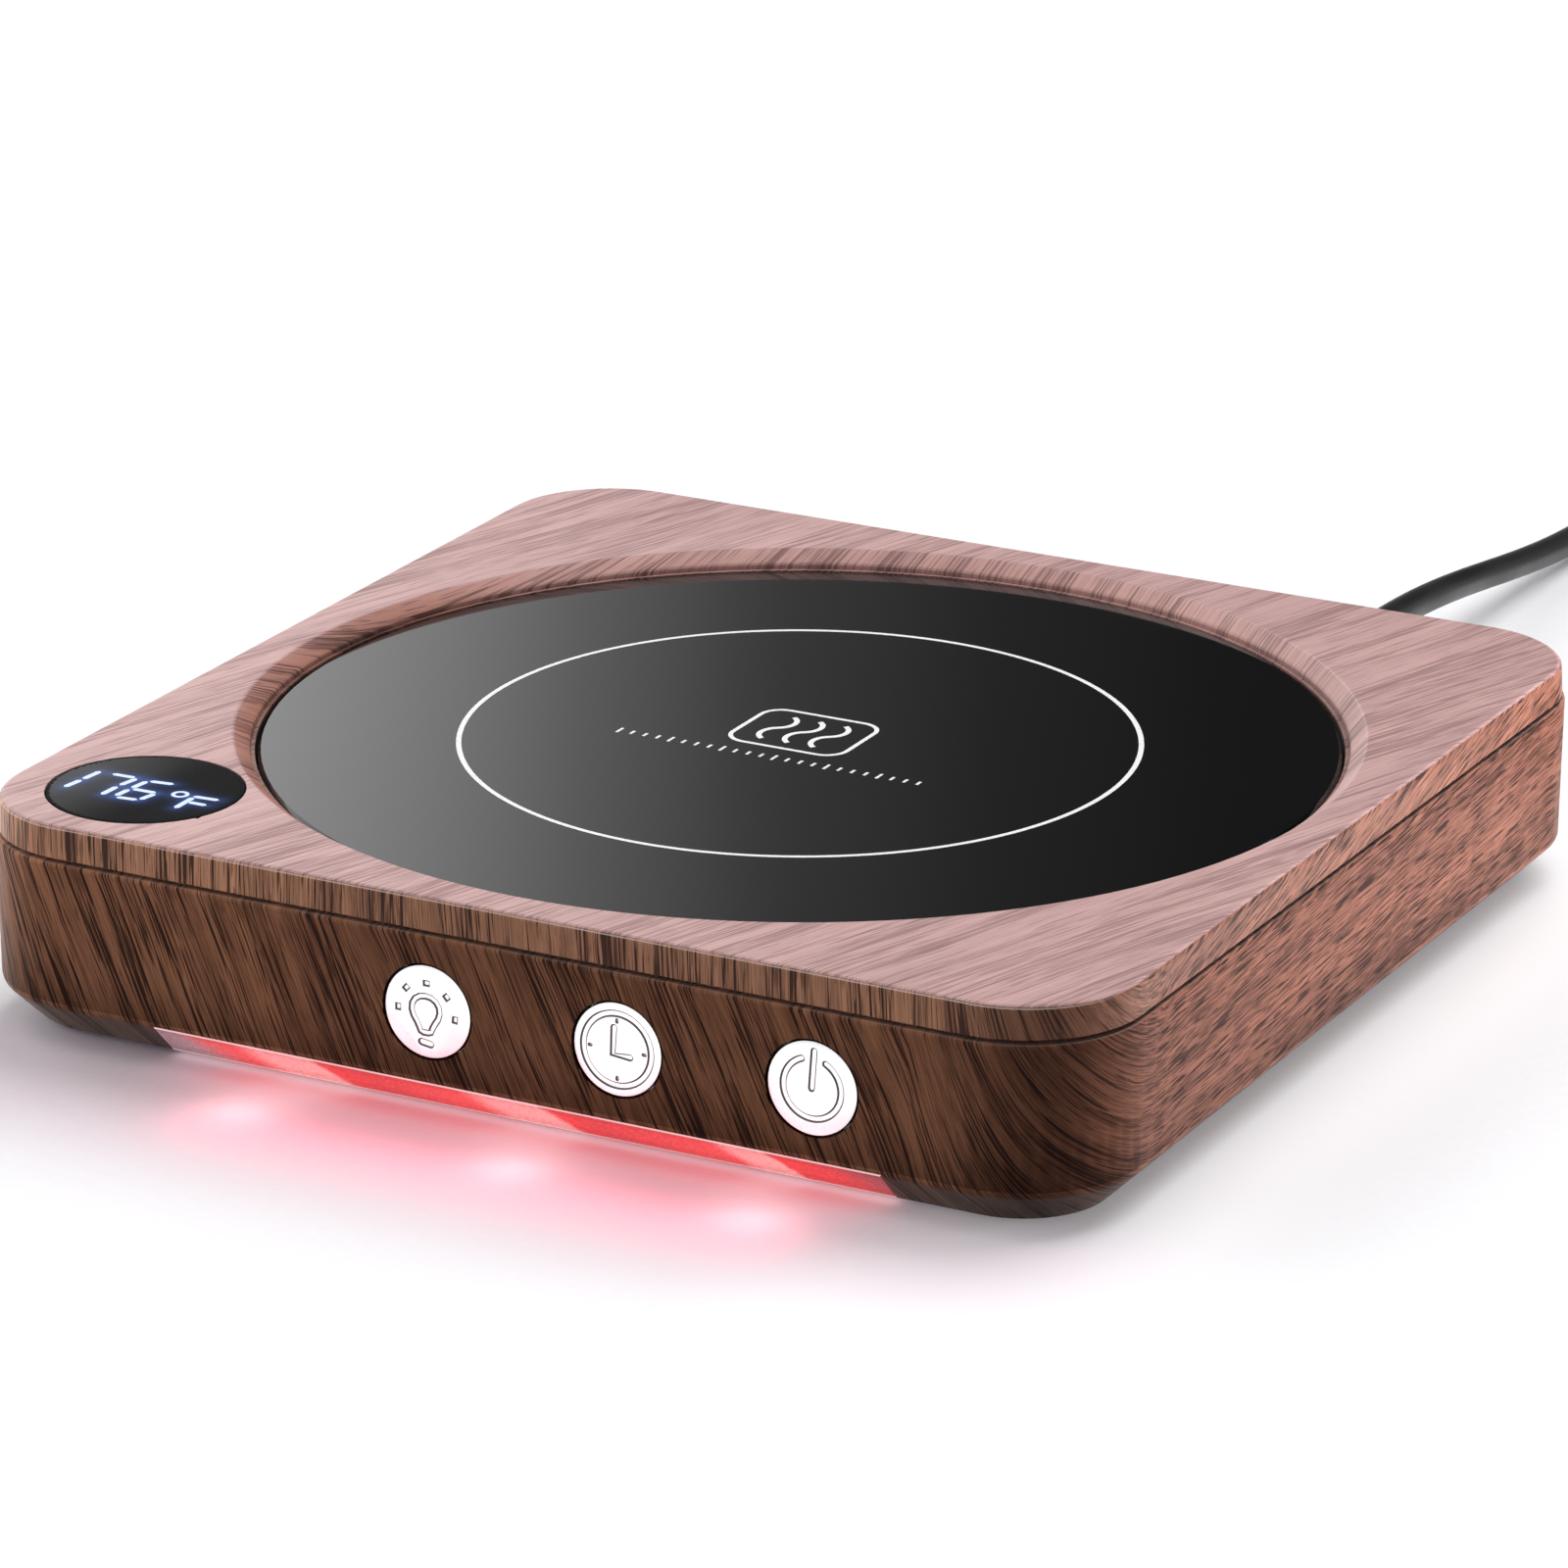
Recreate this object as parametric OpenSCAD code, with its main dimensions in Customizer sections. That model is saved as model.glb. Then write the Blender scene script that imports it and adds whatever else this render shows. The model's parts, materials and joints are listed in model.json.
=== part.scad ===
// Electric mug warmer: a black glass heating plate sunk in a square wood-grain casing, with a
// round number display, three push buttons and a light strip along the front lower edge.
// Frame: +X to the right along the front, +Y to the back, +Z up. The origin is on the desk,
// under the middle of the casing. All sizes are in millimetres.

/* [Casing] */
// Width of the casing, left to right
body_w = 130; // [117:1:150]
// Depth of the casing, front to back
body_d = 130; // [117:1:150]
// Height of the casing above the desk
body_h = 24.3; // [23.8:0.1:28]
// Radius of the casing's upright corners
corner_r = 13; // [11:0.5:18]
// Thickness of the side walls
wall = 2.2; // [2:0.1:2.6]
// Height of the cover's side above the parting groove
cover_h = 3.7; // [3.5:0.1:4.2]
// Thickness of the cover's top
cover_t = 2.4; // [2:0.1:2.6]
// Width of the dark groove between cover and housing
seam_gap = 0.5; // [0.3:0.1:0.7]
// Step from the housing's lip in to the cover's side
cover_step = 0.3; // [0.1:0.1:0.6]
// Radius of the cover's rounded top edge
edge_r = 0.6; // [0.4:0.1:1.4]
// Lean of the side walls from bottom to top
draft = 0.2; // [0.1:0.1:0.4]
// Height and depth of the sloped edge round the bottom
chamfer = 3.7; // [3.4:0.1:4.2]
// Radius where the walls turn into the sloped edge
crease_r = 1.2; // [0.4:0.1:1.6]

/* [Warming plate] */
// Narrowest strip of cover left between the plate's recess and the casing's sides
plate_margin = 5; // [4.5:0.1:12]
// Thickness of the glass plate
glass_t = 3.2; // [2.8:0.1:3.6]
// Depth of the glass below the cover's top
glass_drop = 1.9; // [1.6:0.1:2.2]
// Width of the polished bevel round the glass
glass_bevel = 0.4; // [0.2:0.1:0.8]
// Gap between the glass and the wall of its recess
glass_gap = 0.7; // [0.5:0.1:0.9]
// How far the recess wall leans out to its rim
rim_slope = 1.8; // [1.4:0.1:1.9]
// Radius of the recess's rim
rim_edge_r = 0.6; // [0.3:0.1:0.8]
// Wall of the cup that holds the glass
cup_wall = 2; // [1.6:0.1:2]
// Width of the ledge under the glass
ledge_w = 3.7; // [3:0.1:4.5]
// Thickness of that ledge
ledge_t = 1.5; // [1.2:0.1:1.8]
// Thickness of the silicone gasket under the glass
gasket_t = 0.6; // [0.4:0.1:0.8]

/* [Heater] */
// Gap between the aluminium spreader and the ledge round it
spreader_gap = 4.5; // [2.5:0.5:12]
// Thickness of the spreader
spreader_t = 1; // [0.8:0.1:1.2]
// Distance of the heating film's edge in from the spreader's
film_in = 4; // [1:0.5:12]
// Thickness of the heating film
film_t = 0.5; // [0.3:0.1:0.7]
// Thickness of the insulation pad
pad_t = 3.3; // [3.2:0.1:3.5]
// Thickness of the steel bracket that holds the stack up
bracket_t = 0.8; // [0.6:0.1:1]
// Radius of the posts that the bracket is screwed to
post_r = 2.4; // [2:0.1:2.5]
// Radius of the wire hole through the middle of pad and bracket
wire_hole_r = 5; // [4:0.5:7]
// Diameter of the thermal fuse
fuse_d = 2.8; // [2.4:0.1:3]

/* [Display] */
// Diameter of the display window
window_d = 20.7; // [20.4:0.1:21]
// Thickness of the window
window_t = 1.6; // [1.2:0.1:1.8]
// Strip of cover left between window and recess
window_strip = 0.7; // [0.6:0.1:1.2]
// Direction of the window from the middle of the plate, in degrees
window_angle = 225.5; // [223:0.5:228]
// Length of the number module under the window
module_w = 17.6; // [16:0.2:18]
// Depth of the number module
module_d = 8.5; // [7.5:0.1:9]
// Height of the number module
module_h = 6; // [5.6:0.1:6.4]

/* [Buttons] */
// Diameter of each push button
button_d = 10; // [8:0.2:10.4]
// Height of the buttons' centres above the desk
button_z = 12.2; // [12:0.1:12.8]
// Place of the first button, right of the middle
button_x = -8; // [-12:0.5:-4]
// Distance from button to button
button_pitch = 21.7; // [20:0.1:23]
// Gap round each button
button_gap = 0.2; // [0.1:0.05:0.3]
// How far a button can be pressed
button_travel = 0.4; // [0.2:0.05:0.5]
// Width of each tact switch
switch_w = 6; // [5:0.1:6.4]
// Depth of each tact switch
switch_t = 3.4; // [3:0.1:3.8]

/* [Light bar] */
// Length of the light bar
bar_len = 83.3; // [60:0.5:86]
// Middle of the light bar, right of the middle of the casing
bar_x = 1.1; // [-3:0.1:3]
// Thickness of the light bar along the desk
bar_t = 2.2; // [1.8:0.1:2.4]
// Number of light-emitting diodes behind the bar
led_count = 3; // [1:1:3]
// Distance from diode to diode
led_pitch = 29.5; // [20:0.5:30]

/* [Circuit boards] */
// Thickness of the circuit boards
board_t = 1.6; // [1:0.1:1.6]
// Width of the main board
main_board_w = 62; // [60:1:66]
// Depth of the main board
main_board_d = 36; // [34:1:38]
// Height of the pillars under the main board
standoff_h = 3; // [2:0.1:3.4]

/* [Base, feet and screws] */
// Thickness of the base cover's edge
base_edge_t = 1.2; // [1:0.1:1.4]
// Thickness of the base cover inside its edge
base_t = 2; // [1.8:0.1:2.4]
// Diameter of the rubber feet
foot_d = 11; // [8:0.5:12]
// Height that the feet stand proud of the base
foot_proud = 0.8; // [0.5:0.1:1.2]
// Depth of the pockets that hold the feet
foot_sink = 1; // [0.8:0.1:1.2]
// Distance of the feet from the casing's sides
foot_in = 15; // [14.5:0.5:20]
// Radius of the pillars that take the base screws
pillar_r = 3; // [2.6:0.1:3]
// Shank diameter of the base screws
base_screw_d = 2.6; // [2:0.1:3]
// Shank diameter of the small screws
small_screw_d = 2; // [1.6:0.1:2.2]

/* [Power cord] */
// Diameter of the cord
cord_d = 3.4; // [3:0.1:3.6]
// Place of the cord along the back, right of the middle
cord_x = 22.5; // [18:0.5:26]
// Height of the cord where it leaves the back
cord_z = 8.8; // [8.2:0.1:9.6]
// Length of the strain relief behind the casing
relief_len = 26; // [20:1:30]
// Width of the wall adapter at the cord's end
adapter_w = 40; // [34:1:46]
// Length of the wall adapter
adapter_len = 58; // [48:1:62]
// Height of the wall adapter as it lies
adapter_h = 26; // [22:1:30]

/* [Hidden] */
$fn = 96;
// Clearance of a piece that slides or drops into its seat
fit = 0.15;
// Radial clearance of a shaft or shank in its hole
snug = 0.05;
// Overshoot of a cutting body past the face that it cuts
past = 1;
// Depth that a boss or rib is rooted in the wall that it grows from
root = 0.5;
// Depth of a blind screw hole past the screw's tip
screw_slack = 0.4;

half_w = body_w / 2;
half_d = body_d / 2;

// Casing levels, from the desk up
z_base = foot_proud;
z_crease = z_base + chamfer;
z_floor = z_base + base_t;
z_rim = z_base + base_edge_t;
z_seam = body_h - cover_h;
z_lip = z_seam - seam_gap / 2;
z_cover = z_seam + seam_gap / 2;
z_ceiling = body_h - cover_t;

// Insets of the casing's walls from its outline
inner_in = wall + draft;
rim_w = 1.9;
base_in = chamfer + draft + rim_w;
shelf_w = 2.7;
shelf_in = base_in + shelf_w;
shelf_t = 1.4;
slope_in = chamfer + draft + wall * 1.3;
lip_r = 0.4;
lip_t = 1.2;
rebate_h = 1.45;
tongue_in = lip_t + fit;
tongue_t = 1.4;

// Heating stack, from the glass down
rim_r = min(half_w, half_d) - plate_margin;
cup_r = rim_r - rim_slope;
cup_out_r = cup_r + cup_wall;
glass_r = cup_r - glass_gap;
ledge_r = cup_r - ledge_w;
z_glass = body_h - glass_drop;
z_glass_under = z_glass - glass_t;
z_ledge = z_glass_under - gasket_t;
z_ledge_under = z_ledge - ledge_t;
z_spreader = z_glass_under - spreader_t;
z_film = z_spreader - film_t;
z_pad = z_film - pad_t;
z_bracket = z_pad - bracket_t;
rim_drop = glass_drop - 0.5;
rim_turn_r = 0.8;
post_circle = (ledge_r + cup_out_r) / 2;
post_angles = [30, 150, 210, 330];
spreader_r = ledge_r - spreader_gap;
film_r = spreader_r - film_in;
pad_r = spreader_r - 1;
bracket_r = spreader_r - 2;
bracket_screw_depth = 2.8;
fuse_x = 18;
fuse_len = 9;
fuse_lead_x = 2.4;
sensor_x = -16;
sensor_d = 2.2;
sensor_lead_x = -3.5;
sensor_lead_r = 0.3;
lead_pitch = 1.5;
lead_first_x = 1.7;
lead_lift = 0.2;
lead_spread = 2.8;

// Display
window_r = window_d / 2;
window_seat = rim_r + window_strip + window_r;
window_at = window_seat * [cos(window_angle), sin(window_angle)];
window_gap = 0.1;
module_shift = [0.4, -0.5];
module_at = window_at + module_shift;
z_module = body_h - window_t - module_h - 0.1;
z_display_board = z_module - board_t;
display_board_w = 18;
display_board_d = 16;
display_board_shift = [0, -0.4];
display_board_at = window_at + display_board_shift;
display_post_r = 1.8;
display_posts = [window_at + [-6.5, module_d / 2 + 1.6], window_at + [4, -module_d / 2 - 2.5]];
display_screw_depth = 3;

// Buttons and switches, counted in from the front face
button_r = button_d / 2;
button_edge_r = 0.35;
y_front = -half_d + draft / 2 + snug;
y_inner = -half_d + inner_in;
flange_r = button_r + 1;
flange_t = 1;
y_flange = y_inner + snug;
y_stem = y_flange + flange_t;
stem_len = 0.7;
stem_r = 2;
y_plunger = y_stem + stem_len;
plunger_proud = 0.9;
plunger_len = 1.9;
plunger_r = 1.7;
y_switch = y_plunger + plunger_proud;
y_button_board = y_switch + switch_t;
button_board_over = 9;
button_board_down = 5.4;
button_board_up = 4.5;
button_boss_r = 2.2;
button_screw_depth = 3.4;
switch_slack = 0.2;

// Light bar and its board
bar_left = bar_x - bar_len / 2;
bar_right = bar_x + bar_len / 2;
bar_hook_h = 1.5;
bar_hook_t = 1.2;
led_board_t = 1;
led_board_h = 3.6;
y_led_board = -half_d + shelf_in + 0.4;
led_size = [2.8, 1, 1.6];
led_board_short = 4;
led_lift = 1.1;
led_shift = 2.9;
clip_w = 4;
clip_wall = 1.2;

// Main board
main_board_in = 43;
main_board_at = [0, half_d - main_board_in];
z_main = z_floor + standoff_h;
z_parts = z_main + board_t;
main_hole_in = 3.5;
standoff_r = 2.3;
main_screw_depth = standoff_h - 0.8;
terminal_size = [8, 7, 4.6];
heater_terminal_at = [-18, -6];
cord_terminal_in = 6;
socket_size = [8, 4, 4.2];
socket_x = [-10, 2, 14];
socket_mid = 2;
cable_size = [5, 0.6];
cable_out = 4;
cable_approach = 6;
capacitor_r = 3.1;
capacitor_h = 4.8;
capacitor_x = [-24, -16];
row_y = 9;
chip_at = [3, -6];
chip_size = [7, 7, 1.2];
transistor_x = -8;
transistor_size = [6.5, 9, 2.3];
choke_at = [7, 7];
choke_r = 3.4;
choke_hole_r = 1.6;
choke_h = 4;

// Base screws and feet
pillar_in = 12;
pillar_gap = 0.9;
pillar_reach = cup_out_r + pillar_gap + pillar_r;
pillar_at = [half_w - pillar_in, sqrt(pow(pillar_reach, 2) - pow(half_w - pillar_in, 2))];
boss_h = 2;
z_boss = z_floor + boss_h;
base_head_r = 2.5;
base_head_h = 1.3;
base_screw_len = 11;
foot_at = [half_w - foot_in, half_d - foot_in];
foot_edge = 0.4;
small_head_r = 1.9;
small_head_h = 1;
cross_depth = 0.5;
vent_count = 7;
vent_pitch = 5;
vent_size = [26, 1.8];
vent_at = [0, -18];

// Cord inside the casing
clamp_at = [cord_x, half_d - 12];
clamp_size = [16, 6, 3];
clamp_screw_x = 5.2;
clamp_screw_depth = 4;
saddle_drop = 0.4;
relief_r = 4;
relief_flange_r = 3.5;
relief_tip_r = 2.5;
neck_r = 3;
wire_r = 0.6;
core_pitch = 1.6;
cord_inside = 18;
tail_start = half_d - cord_inside;

// Free cord: where it runs on the desk, chosen by hand
cord_run = [
    [cord_x, tail_start, cord_z], [cord_x, 56, cord_z], [cord_x, 65, cord_z], [cord_x, 74, cord_z],
    [cord_x, 83, cord_z], [cord_x, 92, cord_z], [22.5, 100, 8.7], [22.5, 108, 8.4], [22.5, 116, 7.8],
    [22.5, 124, 6.9], [22.5, 132, 5.8], [22.5, 140, 4.6], [22.5, 148, 3.5], [22.5, 156, 2.6],
    [22.5, 164, 2], [22.5, 172, 1.75], [22.5, 181, 1.7], [22.5, 190, 1.7]];
cord_tail = [
    [64, 220.4, 8.3], [69, 214.8, 6.9], [74.3, 208, 4.9], [79.2, 200.5, 3.1], [83, 192.5, 2.1],
    [85.3, 184, 2.6], [86, 175, 4], [86, 166, 5]];
coil_at = [46.6, 203];
coil_r = 19;
coil_half = 7;
coil_h = 10.3;
tie_w = 7;
tie_t = 1;
adapter_at = [86, 152];
adapter_r = 5;
adapter_edge_r = 2;
adapter_seam = 0.3;
boot_len = 14;
boot_z = 5;
blade_len = 16;
blade_size = [1.5, 6.35];
blade_pitch = 12.7;

// Colours
walnut = [0.55, 0.36, 0.27];
walnut_dark = [0.40, 0.25, 0.18];
glass_black = [0.06, 0.06, 0.07];
rubber_black = [0.10, 0.10, 0.11];
silver = [0.80, 0.81, 0.84];
steel = [0.62, 0.63, 0.65];
board_green = [0.10, 0.34, 0.20];
chip_black = [0.12, 0.12, 0.13];
felt_white = [0.90, 0.89, 0.84];
copper_foil = [0.72, 0.42, 0.22];
lamp_red = [0.85, 0.25, 0.28];

// ---- helpers ----

// A box with rounded upright corners, turned from a profile of [inset, height] points.
module slab(profile, w = body_w, d = body_d, r = corner_r) {
    last = len(profile) - 1;
    for (sx = [-1, 1], sy = [-1, 1])
        translate([sx * (w / 2 - r), sy * (d / 2 - r), 0])
            rotate_extrude()
                polygon(concat([[0, profile[0][1]]], [for (p = profile) [r - p[0], p[1]]],
                               [[0, profile[last][1]]]));
    rotate([90, 0, 0])
        linear_extrude(d - 2 * r, center = true) mirrored_profile(profile, w / 2);
    rotate([90, 0, 90])
        linear_extrude(w - 2 * r, center = true) mirrored_profile(profile, d / 2);
}

module mirrored_profile(profile, half) {
    last = len(profile) - 1;
    polygon(concat([for (p = profile) [half - p[0], p[1]]],
                   [for (i = [last : -1 : 0]) [profile[i][0] - half, profile[i][1]]]));
}

// Turns a piece that is drawn along +Z to run along +Y from a point.
module along_y(point) {
    translate(point) rotate([-90, 0, 0]) children();
}

module at_four(place) {
    for (sx = [-1, 1], sy = [-1, 1]) translate([sx * place[0], sy * place[1], 0]) children();
}

module tube(outer_r, inner_r, height) {
    difference() {
        cylinder(r = outer_r, h = height);
        translate([0, 0, -past]) cylinder(r = inner_r, h = height + 2 * past);
    }
}

// A pan-head screw that points up, with its head's top face at the origin.
module screw(shank_d, shank_len, head_r, head_h) {
    cylinder(r = head_r, h = head_h);
    cylinder(r = shank_d / 2, h = head_h + shank_len);
}

function unit(v) = v / norm(v);

// The arc that rounds the corner b of a path a, b, c.
function corner_arc(a, b, c, r, steps = 4) =
    let (u = unit(a - b), v = unit(c - b), half = acos(u * v) / 2,
         centre = b + unit(u + v) * r / sin(half), reach = r / tan(half))
    [for (i = [0 : steps]) centre + unit(b + (u * (steps - i) + v * i) * reach / steps - centre) * r];

// A path of points with its corners rounded, each by its own radius; 0 leaves a corner sharp.
function rounded(path, radii) = [for (i = [0 : len(path) - 1]) each
    radii[i] == 0 ? [path[i]] : corner_arc(path[i - 1], path[i], path[i + 1], radii[i])];

function heading(path, i) = unit(path[min(i + 1, len(path) - 1)] - path[max(i - 1, 0)]);
function ring_at(path, i, section, up) =
    let (along = heading(path, i), side = unit(cross(along, up)), top = cross(side, along))
    [for (s = section) path[i] + side * s[0] + top * s[1]];
function round_section(d, sides) =
    [for (k = [0 : sides - 1]) d / 2 * [cos(k * 360 / sides), sin(k * 360 / sides)]];
function flat_section(w, t) = [[-w, -t] / 2, [w, -t] / 2, [w, t] / 2, [-w, t] / 2];

// A section swept along a path of points; up is any direction that the path never takes.
module swept(path, section, up = [0, 0, 1]) {
    n = len(section);
    last = len(path) - 1;
    points = [for (i = [0 : last]) each ring_at(path, i, section, up)];
    sides = [for (i = [0 : last - 1], k = [0 : n - 1])
        let (a = i * n + k, b = i * n + (k + 1) % n) each [[a, a + n, b], [b, a + n, b + n]]];
    start_cap = [for (k = [0 : n - 1]) k];
    end_cap = [for (k = [n - 1 : -1 : 0]) last * n + k];
    polyhedron(points, concat(sides, [start_cap, end_cap]));
}

module wire(path, up = [0, 0, 1]) {
    swept(path, round_section(2 * wire_r, 6), up);
}

// ---- casing ----

module top_cover() {
    side_in = cover_step + draft;
    side = rounded([[cover_step, z_cover], [side_in, body_h], [side_in + wall, body_h]], [0, edge_r, 0]);
    color(walnut) difference() {
        union() {
            difference() {
                union() {
                    slab(side);
                    slab([[tongue_in, z_lip - rebate_h], [tongue_in, z_cover + root]]);
                }
                slab([[tongue_in + tongue_t, z_lip - rebate_h - past],
                      [tongue_in + tongue_t, z_ceiling]]);
            }
            translate([0, 0, z_ledge_under])
                cylinder(r = cup_out_r, h = z_ceiling + root - z_ledge_under);
            for (a = post_angles) rotate(a) translate([post_circle, 0, z_pad])
                cylinder(r = post_r, h = z_ledge_under + root - z_pad);
            at_four(pillar_at) translate([0, 0, z_boss])
                cylinder(r = pillar_r, h = z_ceiling + root - z_boss);
            for (p = display_posts) translate([p[0], p[1], z_module])
                cylinder(r = display_post_r, h = z_ceiling + root - z_module);
        }
        glass_recess();
        window_opening();
        for (a = post_angles) rotate(a) translate([post_circle, 0, z_pad - past])
            cylinder(r = small_screw_d / 2 + snug, h = bracket_screw_depth + screw_slack + past);
        at_four(pillar_at) translate([0, 0, z_boss - past])
            cylinder(r = base_screw_d / 2 + snug, h = base_screw_len - boss_h + past);
        for (p = display_posts) translate([p[0], p[1], z_module - past])
            cylinder(r = small_screw_d / 2 + snug, h = display_screw_depth + screw_slack + past);
    }
}

// The space for the glass: a leaning wall, a straight cup and the opening inside the ledge.
module glass_recess() {
    translate([0, 0, z_ledge]) cylinder(r = cup_r, h = z_glass + snug - z_ledge);
    translate([0, 0, z_pad - past]) cylinder(r = ledge_r, h = body_h - z_pad);
    turn = [cup_r, body_h - rim_drop];
    rim = [rim_r, body_h];
    edge = corner_arc(turn, rim, rim + [wall, 0], rim_edge_r);
    rotate_extrude() polygon(concat(
        [[0, z_glass], [cup_r, z_glass]],
        corner_arc([cup_r, z_glass], turn, rim, rim_turn_r), edge,
        [[edge[len(edge) - 1][0], body_h + past], [0, body_h + past]]));
}

module window_opening() {
    translate([window_at[0], window_at[1], body_h - window_t])
        cylinder(r = window_r + window_gap, h = window_t + past);
    translate([module_at[0], module_at[1], z_ceiling])
        cube([module_w + 4 * fit, module_d + 4 * fit, 2 * cover_t], center = true);
}

module lower_housing() {
    color(walnut_dark) difference() {
        union() {
            difference() {
                slab(rounded([[draft + chamfer, z_base], [draft, z_crease],
                              [0, z_lip - 2 * lip_r], [0, z_lip], [lip_t, z_lip]],
                             [0, crease_r, 0, lip_r, 0]));
                housing_hollow();
                bar_cut();
            }
            for (i = [0, 1])
                along_y([button_x + (i + 0.5) * button_pitch, y_inner - root, button_z])
                    cylinder(r = button_boss_r, h = y_button_board + root - y_inner);
        }
        for (i = [0 : 2])
            along_y([button_x + i * button_pitch, -half_d - past, button_z])
                cylinder(r = button_r + button_gap, h = wall + 2 * past);
        for (i = [0, 1])
            along_y([button_x + (i + 0.5) * button_pitch,
                     y_button_board - button_screw_depth - screw_slack, button_z])
                cylinder(r = small_screw_d / 2 + snug, h = button_screw_depth + screw_slack + past);
        along_y([cord_x, half_d - wall - 2 * past, cord_z])
            cylinder(r = neck_r, h = wall + 3 * past);
    }
}

// The inside of the housing: base opening, shelf for the base, sloped foot, wall and rebate.
module housing_hollow() {
    slope_top = z_base + slope_in - inner_in;
    slab([[base_in, z_base - past], [base_in, z_rim], [shelf_in, z_rim], [shelf_in, z_rim + shelf_t],
          [slope_in - z_rim - shelf_t + z_base, z_rim + shelf_t], [inner_in, slope_top],
          [inner_in, z_lip - rebate_h], [lip_t, z_lip - rebate_h], [lip_t, z_lip + past]]);
}

// The slot in the sloped front edge that the light bar fills.
module bar_cut() {
    translate([bar_left - fit, -half_d - past, z_base - past])
        cube([bar_len + 2 * fit, shelf_in + past + 0.5, chamfer + past]);
}

module base_cover() {
    color(rubber_black) difference() {
        union() {
            slab([[base_in + fit, z_base], [base_in + fit, z_rim]]);
            slab([[shelf_in + fit, z_rim], [shelf_in + fit, z_floor]]);
            at_four(pillar_at) translate([0, 0, z_floor - root])
                cylinder(r = pillar_r, h = boss_h + root);
            translate([main_board_at[0], main_board_at[1], z_floor - root])
                at_four([main_board_w / 2 - main_hole_in, main_board_d / 2 - main_hole_in])
                    cylinder(r = standoff_r, h = standoff_h + root);
            translate([clamp_at[0] - clamp_size[0] / 2, clamp_at[1] - clamp_size[1] / 2, z_floor - root])
                cube([clamp_size[0], clamp_size[1], cord_z - saddle_drop - z_floor + root]);
            light_board_clips();
        }
        at_four(foot_at) translate([0, 0, z_base - past])
            cylinder(r = foot_d / 2 + fit, h = foot_sink + past);
        at_four(pillar_at) translate([0, 0, z_base - past])
            cylinder(r = base_head_r + fit, h = base_head_h + past);
        at_four(pillar_at) translate([0, 0, z_base])
            cylinder(r = base_screw_d / 2 + 2 * fit, h = base_t + boss_h + past);
        translate([main_board_at[0], main_board_at[1], z_main - main_screw_depth - screw_slack])
            at_four([main_board_w / 2 - main_hole_in, main_board_d / 2 - main_hole_in])
                cylinder(r = small_screw_d / 2 + snug, h = standoff_h);
        along_y([clamp_at[0], clamp_at[1] - clamp_size[1], cord_z])
            cylinder(r = cord_d / 2 + snug, h = 2 * clamp_size[1]);
        for (s = [-1, 1]) translate([clamp_at[0] + s * clamp_screw_x, clamp_at[1], z_floor + 1])
            cylinder(r = small_screw_d / 2 + snug, h = cord_z);
        for (i = [0 : vent_count - 1])
            translate([vent_at[0] - vent_size[0] / 2,
                       vent_at[1] + (i - (vent_count - 1) / 2) * vent_pitch - vent_size[1] / 2,
                       z_base - past])
                cube([vent_size[0], vent_size[1], base_t + 2 * past]);
    }
}

// Two grooved blocks that hold the ends of the light board upright.
module light_board_clips() {
    for (x = [bar_left + led_board_short, bar_right - led_board_short])
        difference() {
            translate([x - clip_w / 2, y_led_board - clip_wall, z_floor - root])
                cube([clip_w, led_board_t + 2 * clip_wall, led_board_h - root]);
            translate([x - (x < bar_x ? fit : clip_w / 2 + past), y_led_board - snug, z_floor])
                cube([clip_w / 2 + past + fit, led_board_t + 2 * snug, led_board_h]);
        }
}

module rubber_feet() {
    color(chip_black) at_four(foot_at) rotate_extrude() polygon([
        [0, 0], [foot_d / 2 - foot_edge, 0], [foot_d / 2, foot_edge],
        [foot_d / 2, z_base + foot_sink], [0, z_base + foot_sink]]);
}

module base_screws() {
    color(steel) at_four(pillar_at) translate([0, 0, z_base])
        difference() {
            screw(base_screw_d, base_screw_len, base_head_r, base_head_h);
            screw_cross(base_head_r);
        }
}

// The cross slot in a screw's head.
module screw_cross(head_r) {
    for (a = [0, 90]) rotate(a)
        cube([head_r * 1.3, head_r * 0.25, 2 * cross_depth], center = true);
}

// ---- heating stack ----

module glass_plate() {
    color(glass_black) rotate_extrude() polygon([
        [0, z_glass_under], [glass_r - glass_bevel, z_glass_under],
        [glass_r, z_glass_under + glass_bevel], [glass_r, z_glass - glass_bevel],
        [glass_r - glass_bevel, z_glass], [0, z_glass]]);
}

module glass_gasket() {
    lip_r = glass_r + 0.1;
    color(rubber_black) rotate_extrude() polygon([
        [ledge_r + 0.3, z_ledge], [cup_r - fit, z_ledge], [cup_r - fit, z_glass - 1.1],
        [lip_r, z_glass - 1.3], [lip_r, z_glass_under], [ledge_r + 0.3, z_glass_under]]);
}

module heat_spreader() {
    color(silver) translate([0, 0, z_spreader]) cylinder(r = spreader_r, h = spreader_t);
}

module heating_film() {
    color(copper_foil) translate([0, 0, z_film]) cylinder(r = film_r, h = film_t);
}

module insulation_pad() {
    color(felt_white) difference() {
        translate([0, 0, z_pad]) cylinder(r = pad_r, h = pad_t);
        translate([0, 0, z_pad - past]) cylinder(r = wire_hole_r, h = pad_t + 2 * past);
        translate([0, -fuse_d / 2 - fit, z_film - fuse_d - fit])
            cube([fuse_x + fuse_len / 2 + 1.2, fuse_d + 2 * fit, pad_t]);
        translate([sensor_x - 2, -sensor_d / 2 - fit, z_film - sensor_d - fit])
            cube([-sensor_x + 2, sensor_d + 2 * fit, pad_t]);
    }
}

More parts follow.
